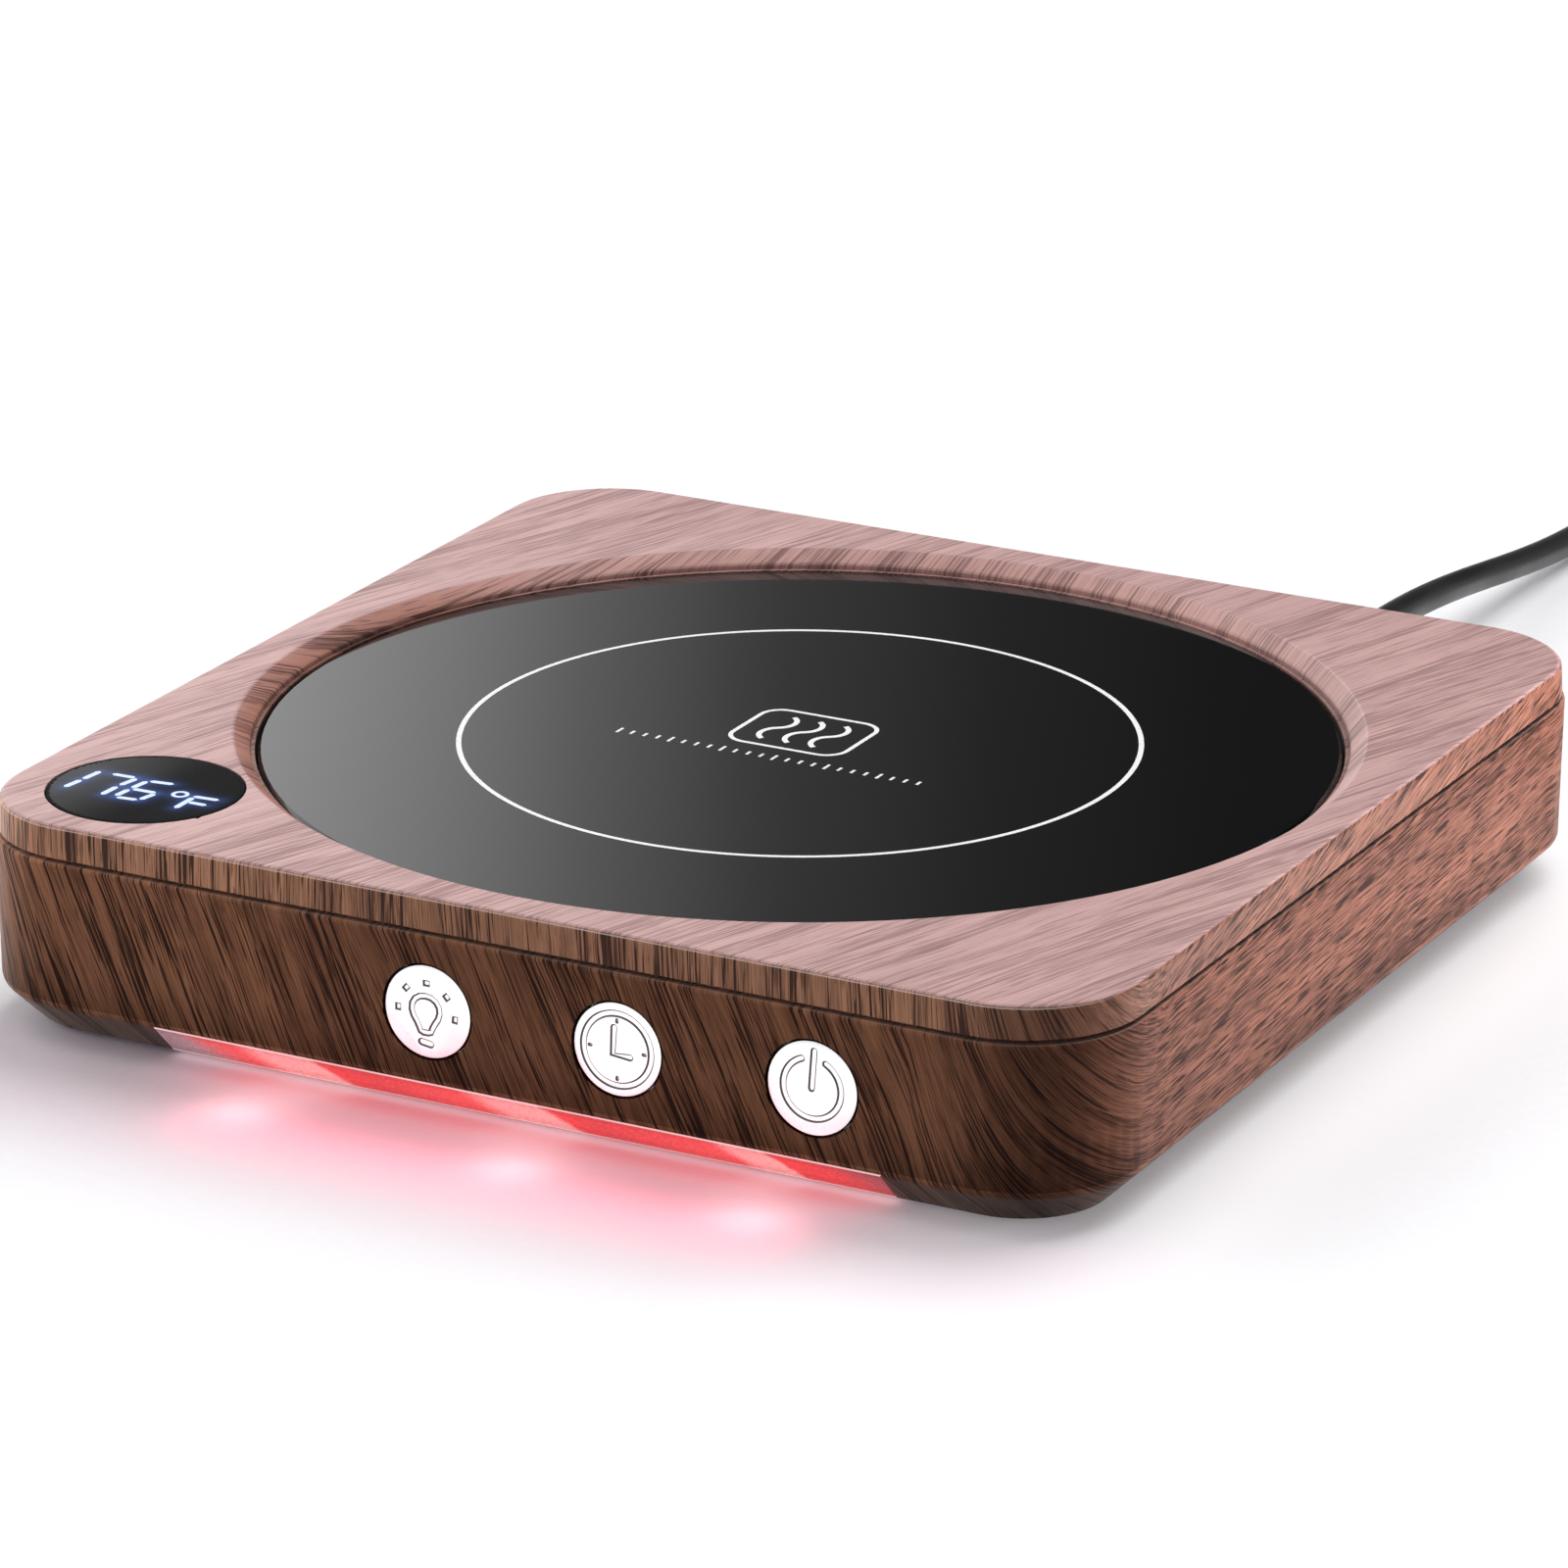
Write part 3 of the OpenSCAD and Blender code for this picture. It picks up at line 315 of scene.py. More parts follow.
class Streaks(Effect):
    """Dark tapered streaks, fine pores and soft bands of one printed wood film, in millimetres."""

    title = "film_streaks"
    takes = (("Across", Kind.VALUE), ("Along", Kind.VALUE), ("Light", Kind.COLOUR),
             ("Dark", Kind.COLOUR), ("Depth", Kind.VALUE), ("Short", Kind.VALUE),
             ("Bands", Kind.VALUE))
    gives = (("Colour", Kind.COLOUR), ("Mark", Kind.VALUE))

    sway = Fleck(16.0, 30.0, 3.1)
    sway_by = 2.4
    cluster = Fleck(2.2, 36.0, 7.7, 2.0)
    cluster_by = (0.36, -0.6)
    limit = (-0.035, 0.56)
    streak = Fleck(0.24, 11.0, 12.3, ease=0.07)
    dash = Fleck(0.17, 5.0, 16.1)
    pore = Fleck(0.13, 4.0, 21.9)
    pore_depth = 0.6
    bands = (Fleck(1.1, 45.0, 31.3, 3.0), Fleck(0.22, 12.0, 44.0))
    band_tones = (-0.24, 0.16)

    @classmethod
    def wire(cls, work: NodeWork, given: Given) -> dict[str, Feed]:
        """Wires the streaks; see Effect.wire."""
        m = work.maths
        along, short = given["Along"], given["Short"]

        def pattern(fleck: Fleck, across: Feed) -> Socket:
            """Adds a fleck's noise.

            Args:
                fleck: The fleck.
                across: The place across the grain.

            Returns:
                Its value.
            """
            place = work.join(m("DIVIDE", across, fleck.width), m("DIVIDE", along, fleck.length),
                              fleck.seed)
            return work.noise(place, 1.0, fleck.octaves)

        sway = m("SUBTRACT", pattern(cls.sway, given["Across"]), 0.5)
        bent = m("MULTIPLY_ADD", sway, cls.sway_by, given["Across"])
        cluster = work.times(m("SUBTRACT", pattern(cls.cluster, bent), 0.5),
                             m("MULTIPLY_ADD", short, *cls.cluster_by))
        limit = m("ADD", cluster, m("MULTIPLY_ADD", short, *cls.limit))

        def marks(fleck: Fleck) -> Socket:
            """Returns tapered marks where a fleck's noise passes the limit."""
            return work.step(pattern(fleck, bent), limit, m("ADD", limit, fleck.ease))

        line = work.either(short, marks(cls.dash), marks(cls.streak))
        pore = work.times(marks(cls.pore), cls.pore_depth)
        mark = m("MULTIPLY", m("MAXIMUM", line, pore), given["Depth"], clamp=True)
        tone, fine = (work.spread(pattern(band, bent), *cls.band_tones) for band in cls.bands)
        tones = m("MULTIPLY_ADD", m("ADD", tone, fine), given["Bands"], 1.0)
        base = work.scaled(given["Light"], tones)
        return {"Colour": work.blend(mark, base, given["Dark"]), "Mark": mark}


class WrappedFilm(Effect):
    """The film laid flat on the top and in the recess, and wrapped round the walls and corners.

    All its lengths are in millimetres. A pair of numbers is where a change starts and ends, and
    out is the distance from the middle of a corner's arc, 13 on the wall.
    """

    title = "wrapped_film"
    takes = (("Place", Kind.VECTOR), ("Wall Light", Kind.COLOUR), ("Side Light", Kind.COLOUR),
             ("Wall Dark", Kind.COLOUR), ("Top Light", Kind.COLOUR), ("Top Dark", Kind.COLOUR),
             ("Edge", Kind.COLOUR), ("Front Angle", Kind.VALUE), ("Side Angle", Kind.VALUE))
    gives = (("Colour", Kind.COLOUR), ("Mark", Kind.VALUE))

    straight = 52.0
    radius = 13.0
    round_all = 8 * straight + 2 * math.pi * radius
    turns = {1: (46.0, 34.0), -1: (170.0, 30.0)}
    # The corner numbers paint shade on the casing's corners, darkest midway round where the grain
    # turns.
    corner = ((0.05, 0.4), (0.6, 1.0))
    corner_painted_shade = -0.4
    # The left-end numbers paint light on the left half of the walls, easing in from 14 to 32 mm
    # left of the front's middle.
    left_end = (14.0, 32.0)
    left_painted_light = 0.34
    wall_depth = 0.95
    back_seam = (-12.0, 12.0)

    top_angle = math.radians(72)
    top_scale = (0.85, 0.7)
    top_look = {"Depth": 0.62, "Short": 0.2, "Bands": 0.36}
    top_z = 20.6
    wall_out = (12.25, 12.42)

    # The rim and lip numbers place painted highlights: a pale line on the cover's rounded top edge
    # at the front, and a fainter one on the housing's lip.
    rim_highlight_out = ((12.38, 12.42), (12.45, 12.49))
    rim_highlight_z = 23.6
    rim_highlight_front = (-11.0, -3.0)
    rim_highlight_weight = 0.8
    lip_highlight_z = (20.24, 20.32)
    lip_highlight_top = 20.45
    lip_weight = 0.16
    highlight_weight = 0.85

    # The recess numbers paint shade and light in the recess: browner and darker on its near and
    # left walls, lighter towards its back left, and darkest at its foot.
    recess_r = 62.0
    recess_z = 24.2
    deep_r = (58.3, 61.4)
    far_end = 45.0
    ring_r = 58.26
    ring_painted_shade = -0.35
    streak_gain = 1.5
    brown_gain = 1.4

    # The groove and the walls of the holes are bare plastic, and are darkened nearly black also as
    # painted shade in these gaps.
    groove_z = ((20.36, 20.4), (20.8, 20.84))
    hole_z = (5.0, 20.0)
    hole_out = (12.7, 12.9)
    bare_and_painted_shade = -0.94
    # The slope at the foot of the walls is darkened as painted shade.
    slope_z = (3.9, 4.7)
    slope_painted_shade = 0.4

    @classmethod
    def wire(cls, work: NodeWork, given: Given) -> dict[str, Feed]:
        """Wires the film; see Effect.wire."""
        m = work.maths
        x, y, z = work.split(work.scaled(given["Place"], 1 / MM))
        wide = m("ABSOLUTE", x)
        xc = m("MINIMUM", wide, cls.straight)
        yc = m("MAXIMUM", m("MINIMUM", y, cls.straight), -cls.straight)
        dx, dy = m("SUBTRACT", wide, xc), m("SUBTRACT", y, yc)
        out = m("SQRT", m("ADD", work.times(dx, dx), work.times(dy, dy)))
        turn = m("ARCTAN2", dx, work.times(dy, -1.0))
        back = m("GREATER_THAN", dy, 0.0001)
        fold = m("MULTIPLY_ADD", back, m("MULTIPLY_ADD", xc, -2.0, 2 * cls.straight), xc)
        arc = m("ADD", m("MULTIPLY_ADD", turn, cls.radius, fold), m("ADD", yc, cls.straight))
        right = m("GREATER_THAN", x, 0.0)

        seen_right = cls.half(work, given, right, arc, z, 1)
        seen_left = cls.half(work, given, work.rest(right), arc, z, -1)
        share = work.either(back, work.step(x, *cls.back_seam), right)
        wall = work.blend(share, seen_left["Colour"], seen_right["Colour"])
        wall_mark = work.either(share, seen_right["Mark"], seen_left["Mark"])

        cos, sin = math.cos(cls.top_angle), math.sin(cls.top_angle)
        across = m("MULTIPLY_ADD", y, cos, work.times(x, -sin))
        along = m("MULTIPLY_ADD", y, sin, work.times(x, cos))
        flat = work.use(Streaks.tree(), Across=work.times(across, cls.top_scale[0]),
                        Along=work.times(along, cls.top_scale[1]),
                        Light=given["Top Light"], Dark=given["Top Dark"], **cls.top_look).outputs
        top = cls.recess(work, given, x, y, z, flat)
        on_wall = m("MAXIMUM", work.step(out, *cls.wall_out), m("LESS_THAN", z, cls.top_z))

        # Painted highlight: a pale line along the cover's rounded top edge at the front, and a
        # fainter one along the housing's lip under the groove.
        rim = work.times(work.between(out, *cls.rim_highlight_out), m("GREATER_THAN", z, cls.rim_highlight_z))
        rim = work.times(rim, work.step(dy, *cls.rim_highlight_front, 1.0, 0.0))
        lip = work.times(work.step(z, *cls.lip_highlight_z), m("LESS_THAN", z, cls.lip_highlight_top))
        edge = m("MAXIMUM", work.times(rim, cls.rim_highlight_weight), work.times(lip, cls.lip_weight))
        colour = work.blend(work.times(edge, cls.highlight_weight), work.blend(on_wall, top, wall),
                            given["Edge"])

        # The groove and the hole walls: bare plastic, darkened nearly black also as painted shade
        # in these gaps.
        walled = work.times(m("GREATER_THAN", z, cls.hole_z[0]), m("LESS_THAN", z, cls.hole_z[1]))
        hole = work.times(walled, work.step(out, *cls.hole_out, 1.0, 0.0))
        bare_and_shaded = m("MAXIMUM", work.between(z, *cls.groove_z), hole)
        # Painted shade: the slope at the foot of the walls is darker.
        shade = m("MULTIPLY_ADD", bare_and_shaded, cls.bare_and_painted_shade,
                  work.step(z, *cls.slope_z, cls.slope_painted_shade, 1.0))
        return {"Colour": work.scaled(colour, shade),
                "Mark": work.either(on_wall, wall_mark, flat["Mark"])}

    @classmethod
    def half(cls, work: NodeWork, given: Given, own: Feed, arc: Feed, z: Feed, sign: int) -> Given:
        """Wires the walls' streaks as they are right for one half of the casing.

        Args:
            work: The group's nodes.
            given: The group's inputs.
            own: 1 on that half.
            arc: Distance round the casing from the middle of the front.
            z: Height.
            sign: 1 for the right half and -1 for the left half.

        Returns:
            The colour and the marks.
        """
        way = work.either(own, arc, work.maths("SUBTRACT", cls.round_all, arc))
        across, along, turned = cls.bend(work, way, z, given["Front Angle"], given["Side Angle"],
                                         sign)
        # Painted light: the left half of the walls is made lighter, easing in from 14 to 32 mm left
        # of the front's middle.
        pale = 0.0 if sign > 0 else work.step(way, *cls.left_end, 0.0, cls.left_painted_light)
        # Painted shade: the wall is darker midway round the corner where the grain turns.
        shade = work.maths("MULTIPLY_ADD", work.between(turned, *cls.corner), cls.corner_painted_shade, 1.0)
        light = work.blend(turned, given["Wall Light"], given["Side Light"])
        return work.use(Streaks.tree(), Across=across, Along=along,
                        Light=work.scaled(light, work.maths("ADD", shade, pale)),
                        Dark=given["Wall Dark"], Depth=cls.wall_depth, Bands=1.0,
                        Short=work.step(turned, 0.5, 1.0)).outputs

    @classmethod
    def recess(cls, work: NodeWork, given: Given, x: Feed, y: Feed, z: Feed, flat: Given) -> Socket:
        """Wires the top's colour in the recess, browner, streakier and darker on its near and left
        walls as painted shade, lighter towards its back left as painted light, and darker at its
        foot as painted shade.

        Args:
            work: The group's nodes.
            given: The group's inputs.
            x: The place from left to right.
            y: The place from front to back.
            z: Height.
            flat: The streaks of the flat top.

        Returns:
            The colour.
        """
        m = work.maths
        reach = m("SQRT", m("ADD", work.times(x, x), work.times(y, y)))
        sunk = work.times(m("LESS_THAN", reach, cls.recess_r), m("LESS_THAN", z, cls.recess_z))
        deep = work.step(reach, *cls.deep_r, 1.0, 0.0)
        far = m("MAXIMUM", work.step(y, 5.0, cls.far_end), work.step(x, 0.0, cls.far_end))
        # Painted shade: the share of the darker, streakier wall colour, larger on the near and left
        # walls.
        shaded_share = m("MULTIPLY_ADD", deep, work.step(far, 0.0, 1.0, 0.45, 0.2),
                  work.step(far, 0.0, 1.0, 0.35, 0.08))
        streaked = work.blend(work.times(flat["Mark"], cls.streak_gain),
                              work.scaled(given["Side Light"], cls.brown_gain), given["Wall Dark"])
        top = work.blend(work.times(sunk, shaded_share), flat["Colour"], streaked)
        # Painted light towards the back left of the recess, and painted shade on its near walls and
        # at its foot.
        painted_light_and_shade = work.times(work.step(y, 5.0, cls.far_end, 0.0, 0.34),
                          work.step(x, 15.0, 50.0, 1.0, -0.3))
        painted_light_and_shade = m("MULTIPLY_ADD", deep, work.step(far, 0.0, 1.0, -0.18, -0.02), painted_light_and_shade)
        painted_light_and_shade = m("MULTIPLY_ADD", m("LESS_THAN", reach, cls.ring_r), cls.ring_painted_shade, painted_light_and_shade)
        return work.scaled(top, m("MULTIPLY_ADD", sunk, painted_light_and_shade, 1.0))

    @classmethod
    def bend(cls, work: NodeWork, way: Feed, z: Feed, front: Feed, side: Feed,
             sign: int) -> tuple[Socket, ...]:
        """Turns the grain from the front's angle to the side's along the corner.

        Args:
            work: The group's nodes.
            way: Distance round the casing from the middle of the front.
            z: Height.
            front: The grain's angle on the front, in radians above the way round.
            side: Its angle on the sides.
            sign: 1 on the right half and -1 on the left half.

        Returns:
            The places across and along the grain, and how far it has turned, from 0 to 1.
        """
        m = work.maths
        start, length = cls.turns[sign]
        share = m("DIVIDE", m("SUBTRACT", way, start), length, clamp=True)
        angle = m("MULTIPLY_ADD", share, m("SUBTRACT", side, front), front)
        rate = m("DIVIDE", m("SUBTRACT", side, front), length)
        first = m("MINIMUM", way, start)
        last = m("MAXIMUM", m("SUBTRACT", way, start + length), 0.0)

        def summed(wave: str, rise: Feed) -> Socket:
            """Sums a wave of the angle up along the way.

            Args:
                wave: SINE or COSINE.
                rise: How much its integral over the angle has grown in the corner.

            Returns:
                The sum, in millimetres.
            """
            bent = m("ADD", work.times(m(wave, front), first), m("DIVIDE", rise, rate))
            return m("MULTIPLY_ADD", m(wave, side), last, bent)

        sines = summed("SINE", m("SUBTRACT", m("COSINE", front), m("COSINE", angle)))
        cosines = summed("COSINE", m("SUBTRACT", m("SINE", angle), m("SINE", front)))
        across = m("MULTIPLY_ADD", sines, -sign, work.times(z, m("COSINE", angle)))
        along = m("MULTIPLY_ADD", cosines, sign, work.times(z, m("SINE", angle)))
        return across, along, share


class MouldGrain(Effect):
    """The fine spark-eroded texture that a mould leaves on plastic, with faint flow marks."""

    title = "mould_grain"
    takes = (("Place", Kind.VECTOR), ("Size", Kind.VALUE), ("Colour", Kind.COLOUR))
    gives = (("Colour", Kind.COLOUR), ("Height", Kind.VALUE), ("Gloss", Kind.VALUE))

    pit_scale = 0.8
    flow_scale = 90.0
    tones = (0.6, 1.4, 0.86, 1.12)
    gloss = (-0.05, 0.06)

    @classmethod
    def wire(cls, work: NodeWork, given: Given) -> dict[str, Feed]:
        """Wires the grain; see Effect.wire."""
        place = work.scaled(given["Place"], work.maths("DIVIDE", 1.0, given["Size"]))
        fine = work.noise(place, 1.0, rough=0.6)
        flow = work.noise(given["Place"], cls.flow_scale)
        tone = work.step(work.maths("ADD", fine, flow), *cls.tones)
        return {"Colour": work.scaled(given["Colour"], tone),
                "Height": work.maths("MULTIPLY_ADD", work.cells(place, cls.pit_scale), 0.5, fine),
                "Gloss": work.spread(flow, *cls.gloss)}


def new_material(name: str) -> tuple[bpy.types.Material, NodeWork, Node]:
    """Makes a material.

    Args:
        name: Its name.

    Returns:
        The material, its nodes and its Principled BSDF.
    """
    made = bpy.data.materials.new(name)
    made.use_nodes = True
    return made, NodeWork(made.node_tree), made.node_tree.nodes["Principled BSDF"]


@dataclass(frozen=True)
class Finish:
    """A finish of the object: its name and how rough it is."""

    name: str
    roughness: float = 0.5

    @cache
    def material(self) -> bpy.types.Material:
        """Builds the finish's material when it is first asked for.

        Returns:
            The material.
        """
        made, work, shader = new_material(self.name)
        work.fill(shader, Roughness=self.roughness)
        self.dress(work, shader)
        return made

    def dulled(self, work: NodeWork, pattern: Feed, span: Flat, by: float) -> Socket:
        """Returns the roughness, raised by some where a pattern passes over its span."""
        return work.step(pattern, *span, self.roughness, self.roughness + by)

    def dress(self, work: NodeWork, shader: Node) -> None:
        """Wires the finish.

        Args:
            work: The material's nodes.
            shader: Its Principled BSDF.
        """
        raise NotImplementedError


@dataclass(frozen=True)
class WoodFilm(Finish):
    """Satin wood-grain film over moulded plastic."""

    front_angle: float = -66.0
    side_angle: float = 4.0
    wall_light: Colour = rgb(0.37, 0.165, 0.092)
    side_light: Colour = rgb(0.32, 0.13, 0.09)
    wall_dark: Colour = rgb(0.032, 0.015, 0.013)
    # The top's film colours are made paler and pinker than the walls' as a painted sheen.
    top_light_and_sheen: Colour = rgb(0.61, 0.385, 0.372)
    top_dark_and_sheen: Colour = rgb(0.15, 0.065, 0.065)
    # The edge colour is that of the painted highlights on the cover's top edge and the housing's
    # lip.
    edge: Colour = rgb(0.95, 0.76, 0.7)
    shine: Colour = rgb(0.35, 0.2, 0.16)
    gloss: float = 0.08

    mark_dulls = 0.1
    relief = (0.12, 0.00004)

    def dress(self, work: NodeWork, shader: Node) -> None:
        """Wires the film; see Finish.dress."""
        film = work.use(WrappedFilm.tree(), Place=work.place(), Wall_Light=self.wall_light,
                        Side_Light=self.side_light, Wall_Dark=self.wall_dark,
                        Top_Light=self.top_light_and_sheen, Top_Dark=self.top_dark_and_sheen, Edge=self.edge,
                        Front_Angle=math.radians(self.front_angle),
                        Side_Angle=math.radians(self.side_angle)).outputs
        work.fill(shader, Base_Color=film["Colour"],
                  Roughness=self.dulled(work, film["Mark"], (0.0, 1.0), self.mark_dulls),
                  Specular_IOR_Level=self.gloss, Specular_Tint=self.shine,
                  Normal=work.bump(work.rest(film["Mark"]), *self.relief))


@dataclass(frozen=True)
class GlossBlack(Finish):
    """Polished black glass or smoked plastic, with very faint wipe marks and dust."""

    colour: Colour = rgb(0.004, 0.004, 0.0045)
    index: float = 1.5
    speck: Colour = grey(0.05)

    smear = (45.0, 3.0)
    dust_scale = 900.0
    dust_size = 0.055
    dust_weight = 0.25

    def dress(self, work: NodeWork, shader: Node) -> None:
        """Wires the glass; see Finish.dress."""
        place = work.place()
        smear = work.noise(place, *self.smear)
        dust = work.step(work.cells(place, self.dust_scale), 0.0, self.dust_size, 1.0, 0.0)
        dusty = work.blend(work.times(dust, self.dust_weight), self.colour, self.speck)
        work.fill(shader, Base_Color=dusty, IOR=self.index,
                  Roughness=self.dulled(work, smear, SMEAR_SPAN, SMEAR_DULLS))


@dataclass(frozen=True)
class Moulded(Finish):
    """Moulded plastic or rubber with a fine mould texture."""

    colour: Colour = rgb(0.02, 0.02, 0.022)
    grain: float = 0.0002
    relief: float = 0.25
    metal: float = 0.0

    pit_depth = 0.3

    def dress(self, work: NodeWork, shader: Node) -> None:
        """Wires the plastic; see Finish.dress."""
        grain = work.use(MouldGrain.tree(), Place=work.place(), Size=self.grain,
                         Colour=self.colour).outputs
        work.fill(shader, Base_Color=grain["Colour"], Metallic=self.metal,
                  Roughness=work.maths("ADD", grain["Gloss"], self.roughness),
                  Normal=work.bump(grain["Height"], self.relief, self.grain * self.pit_depth))


class Lay(Enum):
    """How a metal's fine marks run."""

    ALONG_X = (0.02, 1.0, 1.0)
    ALONG_Z = (1.0, 1.0, 0.02)
    EVERY_WAY = (1.0, 1.0, 1.0)


@dataclass(frozen=True)
class Metal(Finish):
    """Bare or plated metal with fine tool marks and slight tarnish."""

    colour: Colour = grey(0.6)
    tarnish: Colour = rgb(0.4, 0.38, 0.35)
    lay: Lay = Lay.EVERY_WAY

    mark_scale = 4200.0
    patch = (160.0, 3.0)
    patch_span = (0.45, 0.75)
    rough = (-0.08, 0.12)
    relief = (0.15, 0.00002)

    def dress(self, work: NodeWork, shader: Node) -> None:
        """Wires the metal; see Finish.dress."""
        place = work.place()
        drawn = work.node("ShaderNodeVectorMath", place, self.lay.value, operation="MULTIPLY")
        marks = work.noise(drawn.outputs[0], self.mark_scale)
        patches = work.step(work.noise(place, *self.patch), *self.patch_span)
        rough = work.spread(marks, *(self.roughness + by for by in self.rough))
        work.fill(shader, Base_Color=work.blend(patches, self.colour, self.tarnish), Metallic=1.0,
                  Roughness=rough, Normal=work.bump(marks, *self.relief))


@dataclass(frozen=True)
class Felt(Finish):
    """Pressed white fibre."""

    colour: Colour = rgb(0.72, 0.7, 0.66)

    tangle = (1800.0, 5.0, 0.75)
    clumps = (220.0, 3.0)
    tones = (0.6, 1.4, 0.7, 1.08)
    sheen = 0.3
    relief = (0.6, 0.0003)

    def dress(self, work: NodeWork, shader: Node) -> None:
        """Wires the felt; see Finish.dress."""
        place = work.place()
        tangle = work.noise(place, *self.tangle)
        clumps = work.noise(place, *self.clumps)
        tone = work.step(work.maths("ADD", tangle, clumps), *self.tones)
        work.fill(shader, Base_Color=work.scaled(self.colour, tone), Sheen_Weight=self.sheen,
                  Normal=work.bump(tangle, *self.relief))


@dataclass(frozen=True)
class CircuitBoard(Finish):
    """Green solder mask over tracks and tinned pads."""

    colour: Colour = rgb(0.012, 0.09, 0.04)
    track: Colour = rgb(0.03, 0.2, 0.08)
    tin: Colour = rgb(0.5, 0.5, 0.46)

    tracks = {"Scale": 420.0, "Mortar_Size": 0.07, "Mortar_Smooth": 0.3, "Bias": 0.0}
    pad_scale = 330.0
    pad_edge = (0.12, 0.16)
    pad_weight = 0.8
    coat = 0.6
    relief = (0.3, 0.00004)

    def dress(self, work: NodeWork, shader: Node) -> None:
        """Wires the board; see Finish.dress."""
        place = work.place()
        grid = work.node("ShaderNodeTexBrick", place, offset=0.37, squash=1.0)
        tracks = work.fill(grid, **self.tracks).outputs["Fac"]
        pads = work.step(work.cells(place, self.pad_scale), *self.pad_edge, 1.0, 0.0)
        mask = work.blend(tracks, self.colour, self.track)
        work.fill(shader, Base_Color=work.blend(work.times(pads, self.pad_weight), mask, self.tin),
                  Coat_Weight=self.coat,
                  Normal=work.bump(work.maths("ADD", tracks, pads), *self.relief))


@dataclass(frozen=True)
class WireSheath(Finish):
    """Thin insulated wires, red on one side of the bundle and pale on the other."""

    first: Colour = rgb(0.45, 0.02, 0.015)
    second: Colour = rgb(0.7, 0.68, 0.62)
    pitch: float = 1900.0

    grain = 0.0004
    relief = (0.1, 0.00004)

    def dress(self, work: NodeWork, shader: Node) -> None:
        """Wires the sheath; see Finish.dress."""
        place = work.place()
        x, _, _ = work.split(place)
        side = work.maths("GREATER_THAN", work.maths("SINE", work.times(x, self.pitch)), 0.0)
        grain = work.use(MouldGrain.tree(), Place=place, Size=self.grain,
                         Colour=work.blend(side, self.first, self.second)).outputs
        work.fill(shader, Base_Color=grain["Colour"],
                  Normal=work.bump(grain["Height"], *self.relief))


@dataclass(frozen=True)
class LitBar(Finish):
    """Frosted translucent plastic, lit from behind by three diodes."""

    left: float = -40.55
    right: float = 42.75
    low: float = 0.8
    high: float = 4.4
    lean: float = 0.9
    core: tuple[Flat, Flat] = ((1.4, 2.4), (3.2, 4.1))
    lamps: Sequence[Flat] = ((-24.2, 1.0), (2.4, 1.0), (29.0, 0.65))
    rim: Colour = rgb(0.95, 0.66, 0.68)
    unlit: Colour = rgb(0.1, 0.01, 0.012)

    zero = 2.3
    wave_scale = 0.8
    wave_size = 1.2
    speck = (2600.0, 3.0, 0.7)
    speck_tones = (0.35, 0.68, 0.84, 1.22)
    core_tones = (0.86, 1.04)
    lip_weight = 0.75
    gloss = 0.08
    relief = (0.2, 0.00003)

    def stop(self, at: float, red: float, green: float, blue: float) -> tuple[float, Colour]:
        """Returns a ramp stop at a place along the bar, in millimetres."""
        return ((at - self.left) / (self.right - self.left), rgb(red, green, blue))

    def stops(self) -> list[tuple[float, Colour]]:
        """Lays out the glow along the bar, brightest by each lamp, whose last number is its reach.

        Returns:
            The ramp's stops, from left to right.
        """
        found = [self.stop(self.left, 0.24, 0.15, 0.17), self.stop(-37.0, 0.33, 0.165, 0.195),
                 self.stop(-34.0, 0.64, 0.09, 0.1)]
        for lamp, reach in self.lamps:
            found += [self.stop(lamp - 6.5 * reach, 0.82, 0.06, 0.065),
                      self.stop(lamp - 3.0 * reach, 0.95, 0.28, 0.29),
                      self.stop(lamp + 3.2 * reach, 0.94, 0.3, 0.3),
                      self.stop(lamp + 4.4 * reach, 0.78, 0.03, 0.033),
                      self.stop(lamp + 8.5, 0.68, 0.036, 0.045)]
        return found + [self.stop(self.right, 0.3, 0.055, 0.065)]

    def dress(self, work: NodeWork, shader: Node) -> None:
        """Wires the bar; see Finish.dress."""
        m = work.maths
        place = work.place()
        x, _, z = work.split(work.scaled(place, 1 / MM))
        lean = m("MULTIPLY_ADD", z, self.lean, m("SUBTRACT", x, self.zero))
        wave = work.noise(work.scaled(place, 1 / MM), self.wave_scale)
        wavy = m("MULTIPLY_ADD", wave, self.wave_size, m("SUBTRACT", lean, self.wave_size / 2))
        along = m("DIVIDE", m("SUBTRACT", wavy, self.left), self.right - self.left)
        glow = work.ramp(along, self.stops())
        speck = work.noise(place, *self.speck)
        core = work.step(work.between(z, *self.core), 0.0, 1.0, *self.core_tones)
        strength = work.times(work.step(speck, *self.speck_tones), core)
        lip = m("MAXIMUM", work.step(z, self.high - 0.2, self.high - 0.08),
                work.step(z, self.low + 0.1, self.low + 0.2, 0.7, 0.0))
        colour = work.blend(work.times(lip, self.lip_weight), work.scaled(glow, strength), self.rim)
        work.fill(shader, Emission_Color=colour, Emission_Strength=1.0, Base_Color=self.unlit,
                  Specular_IOR_Level=self.gloss, Normal=work.bump(speck, *self.relief))


@dataclass(frozen=True)
class Glow(Finish):
    """A surface that shines by itself: the display's numbers and the diodes."""

    colour: Colour = rgb(0.66, 0.78, 1.0)
    strength: float = 1.0
    unlit: Colour = rgb(0.02, 0.02, 0.025)

    speck_scale = 1500.0
    tones = (0.93, 1.03)

    def dress(self, work: NodeWork, shader: Node) -> None:
        """Wires the glow; see Finish.dress."""
        tone = work.spread(work.noise(work.place(), self.speck_scale), *self.tones)
        work.fill(shader, Emission_Color=work.scaled(self.colour, tone), Base_Color=self.unlit,
                  Emission_Strength=self.strength)


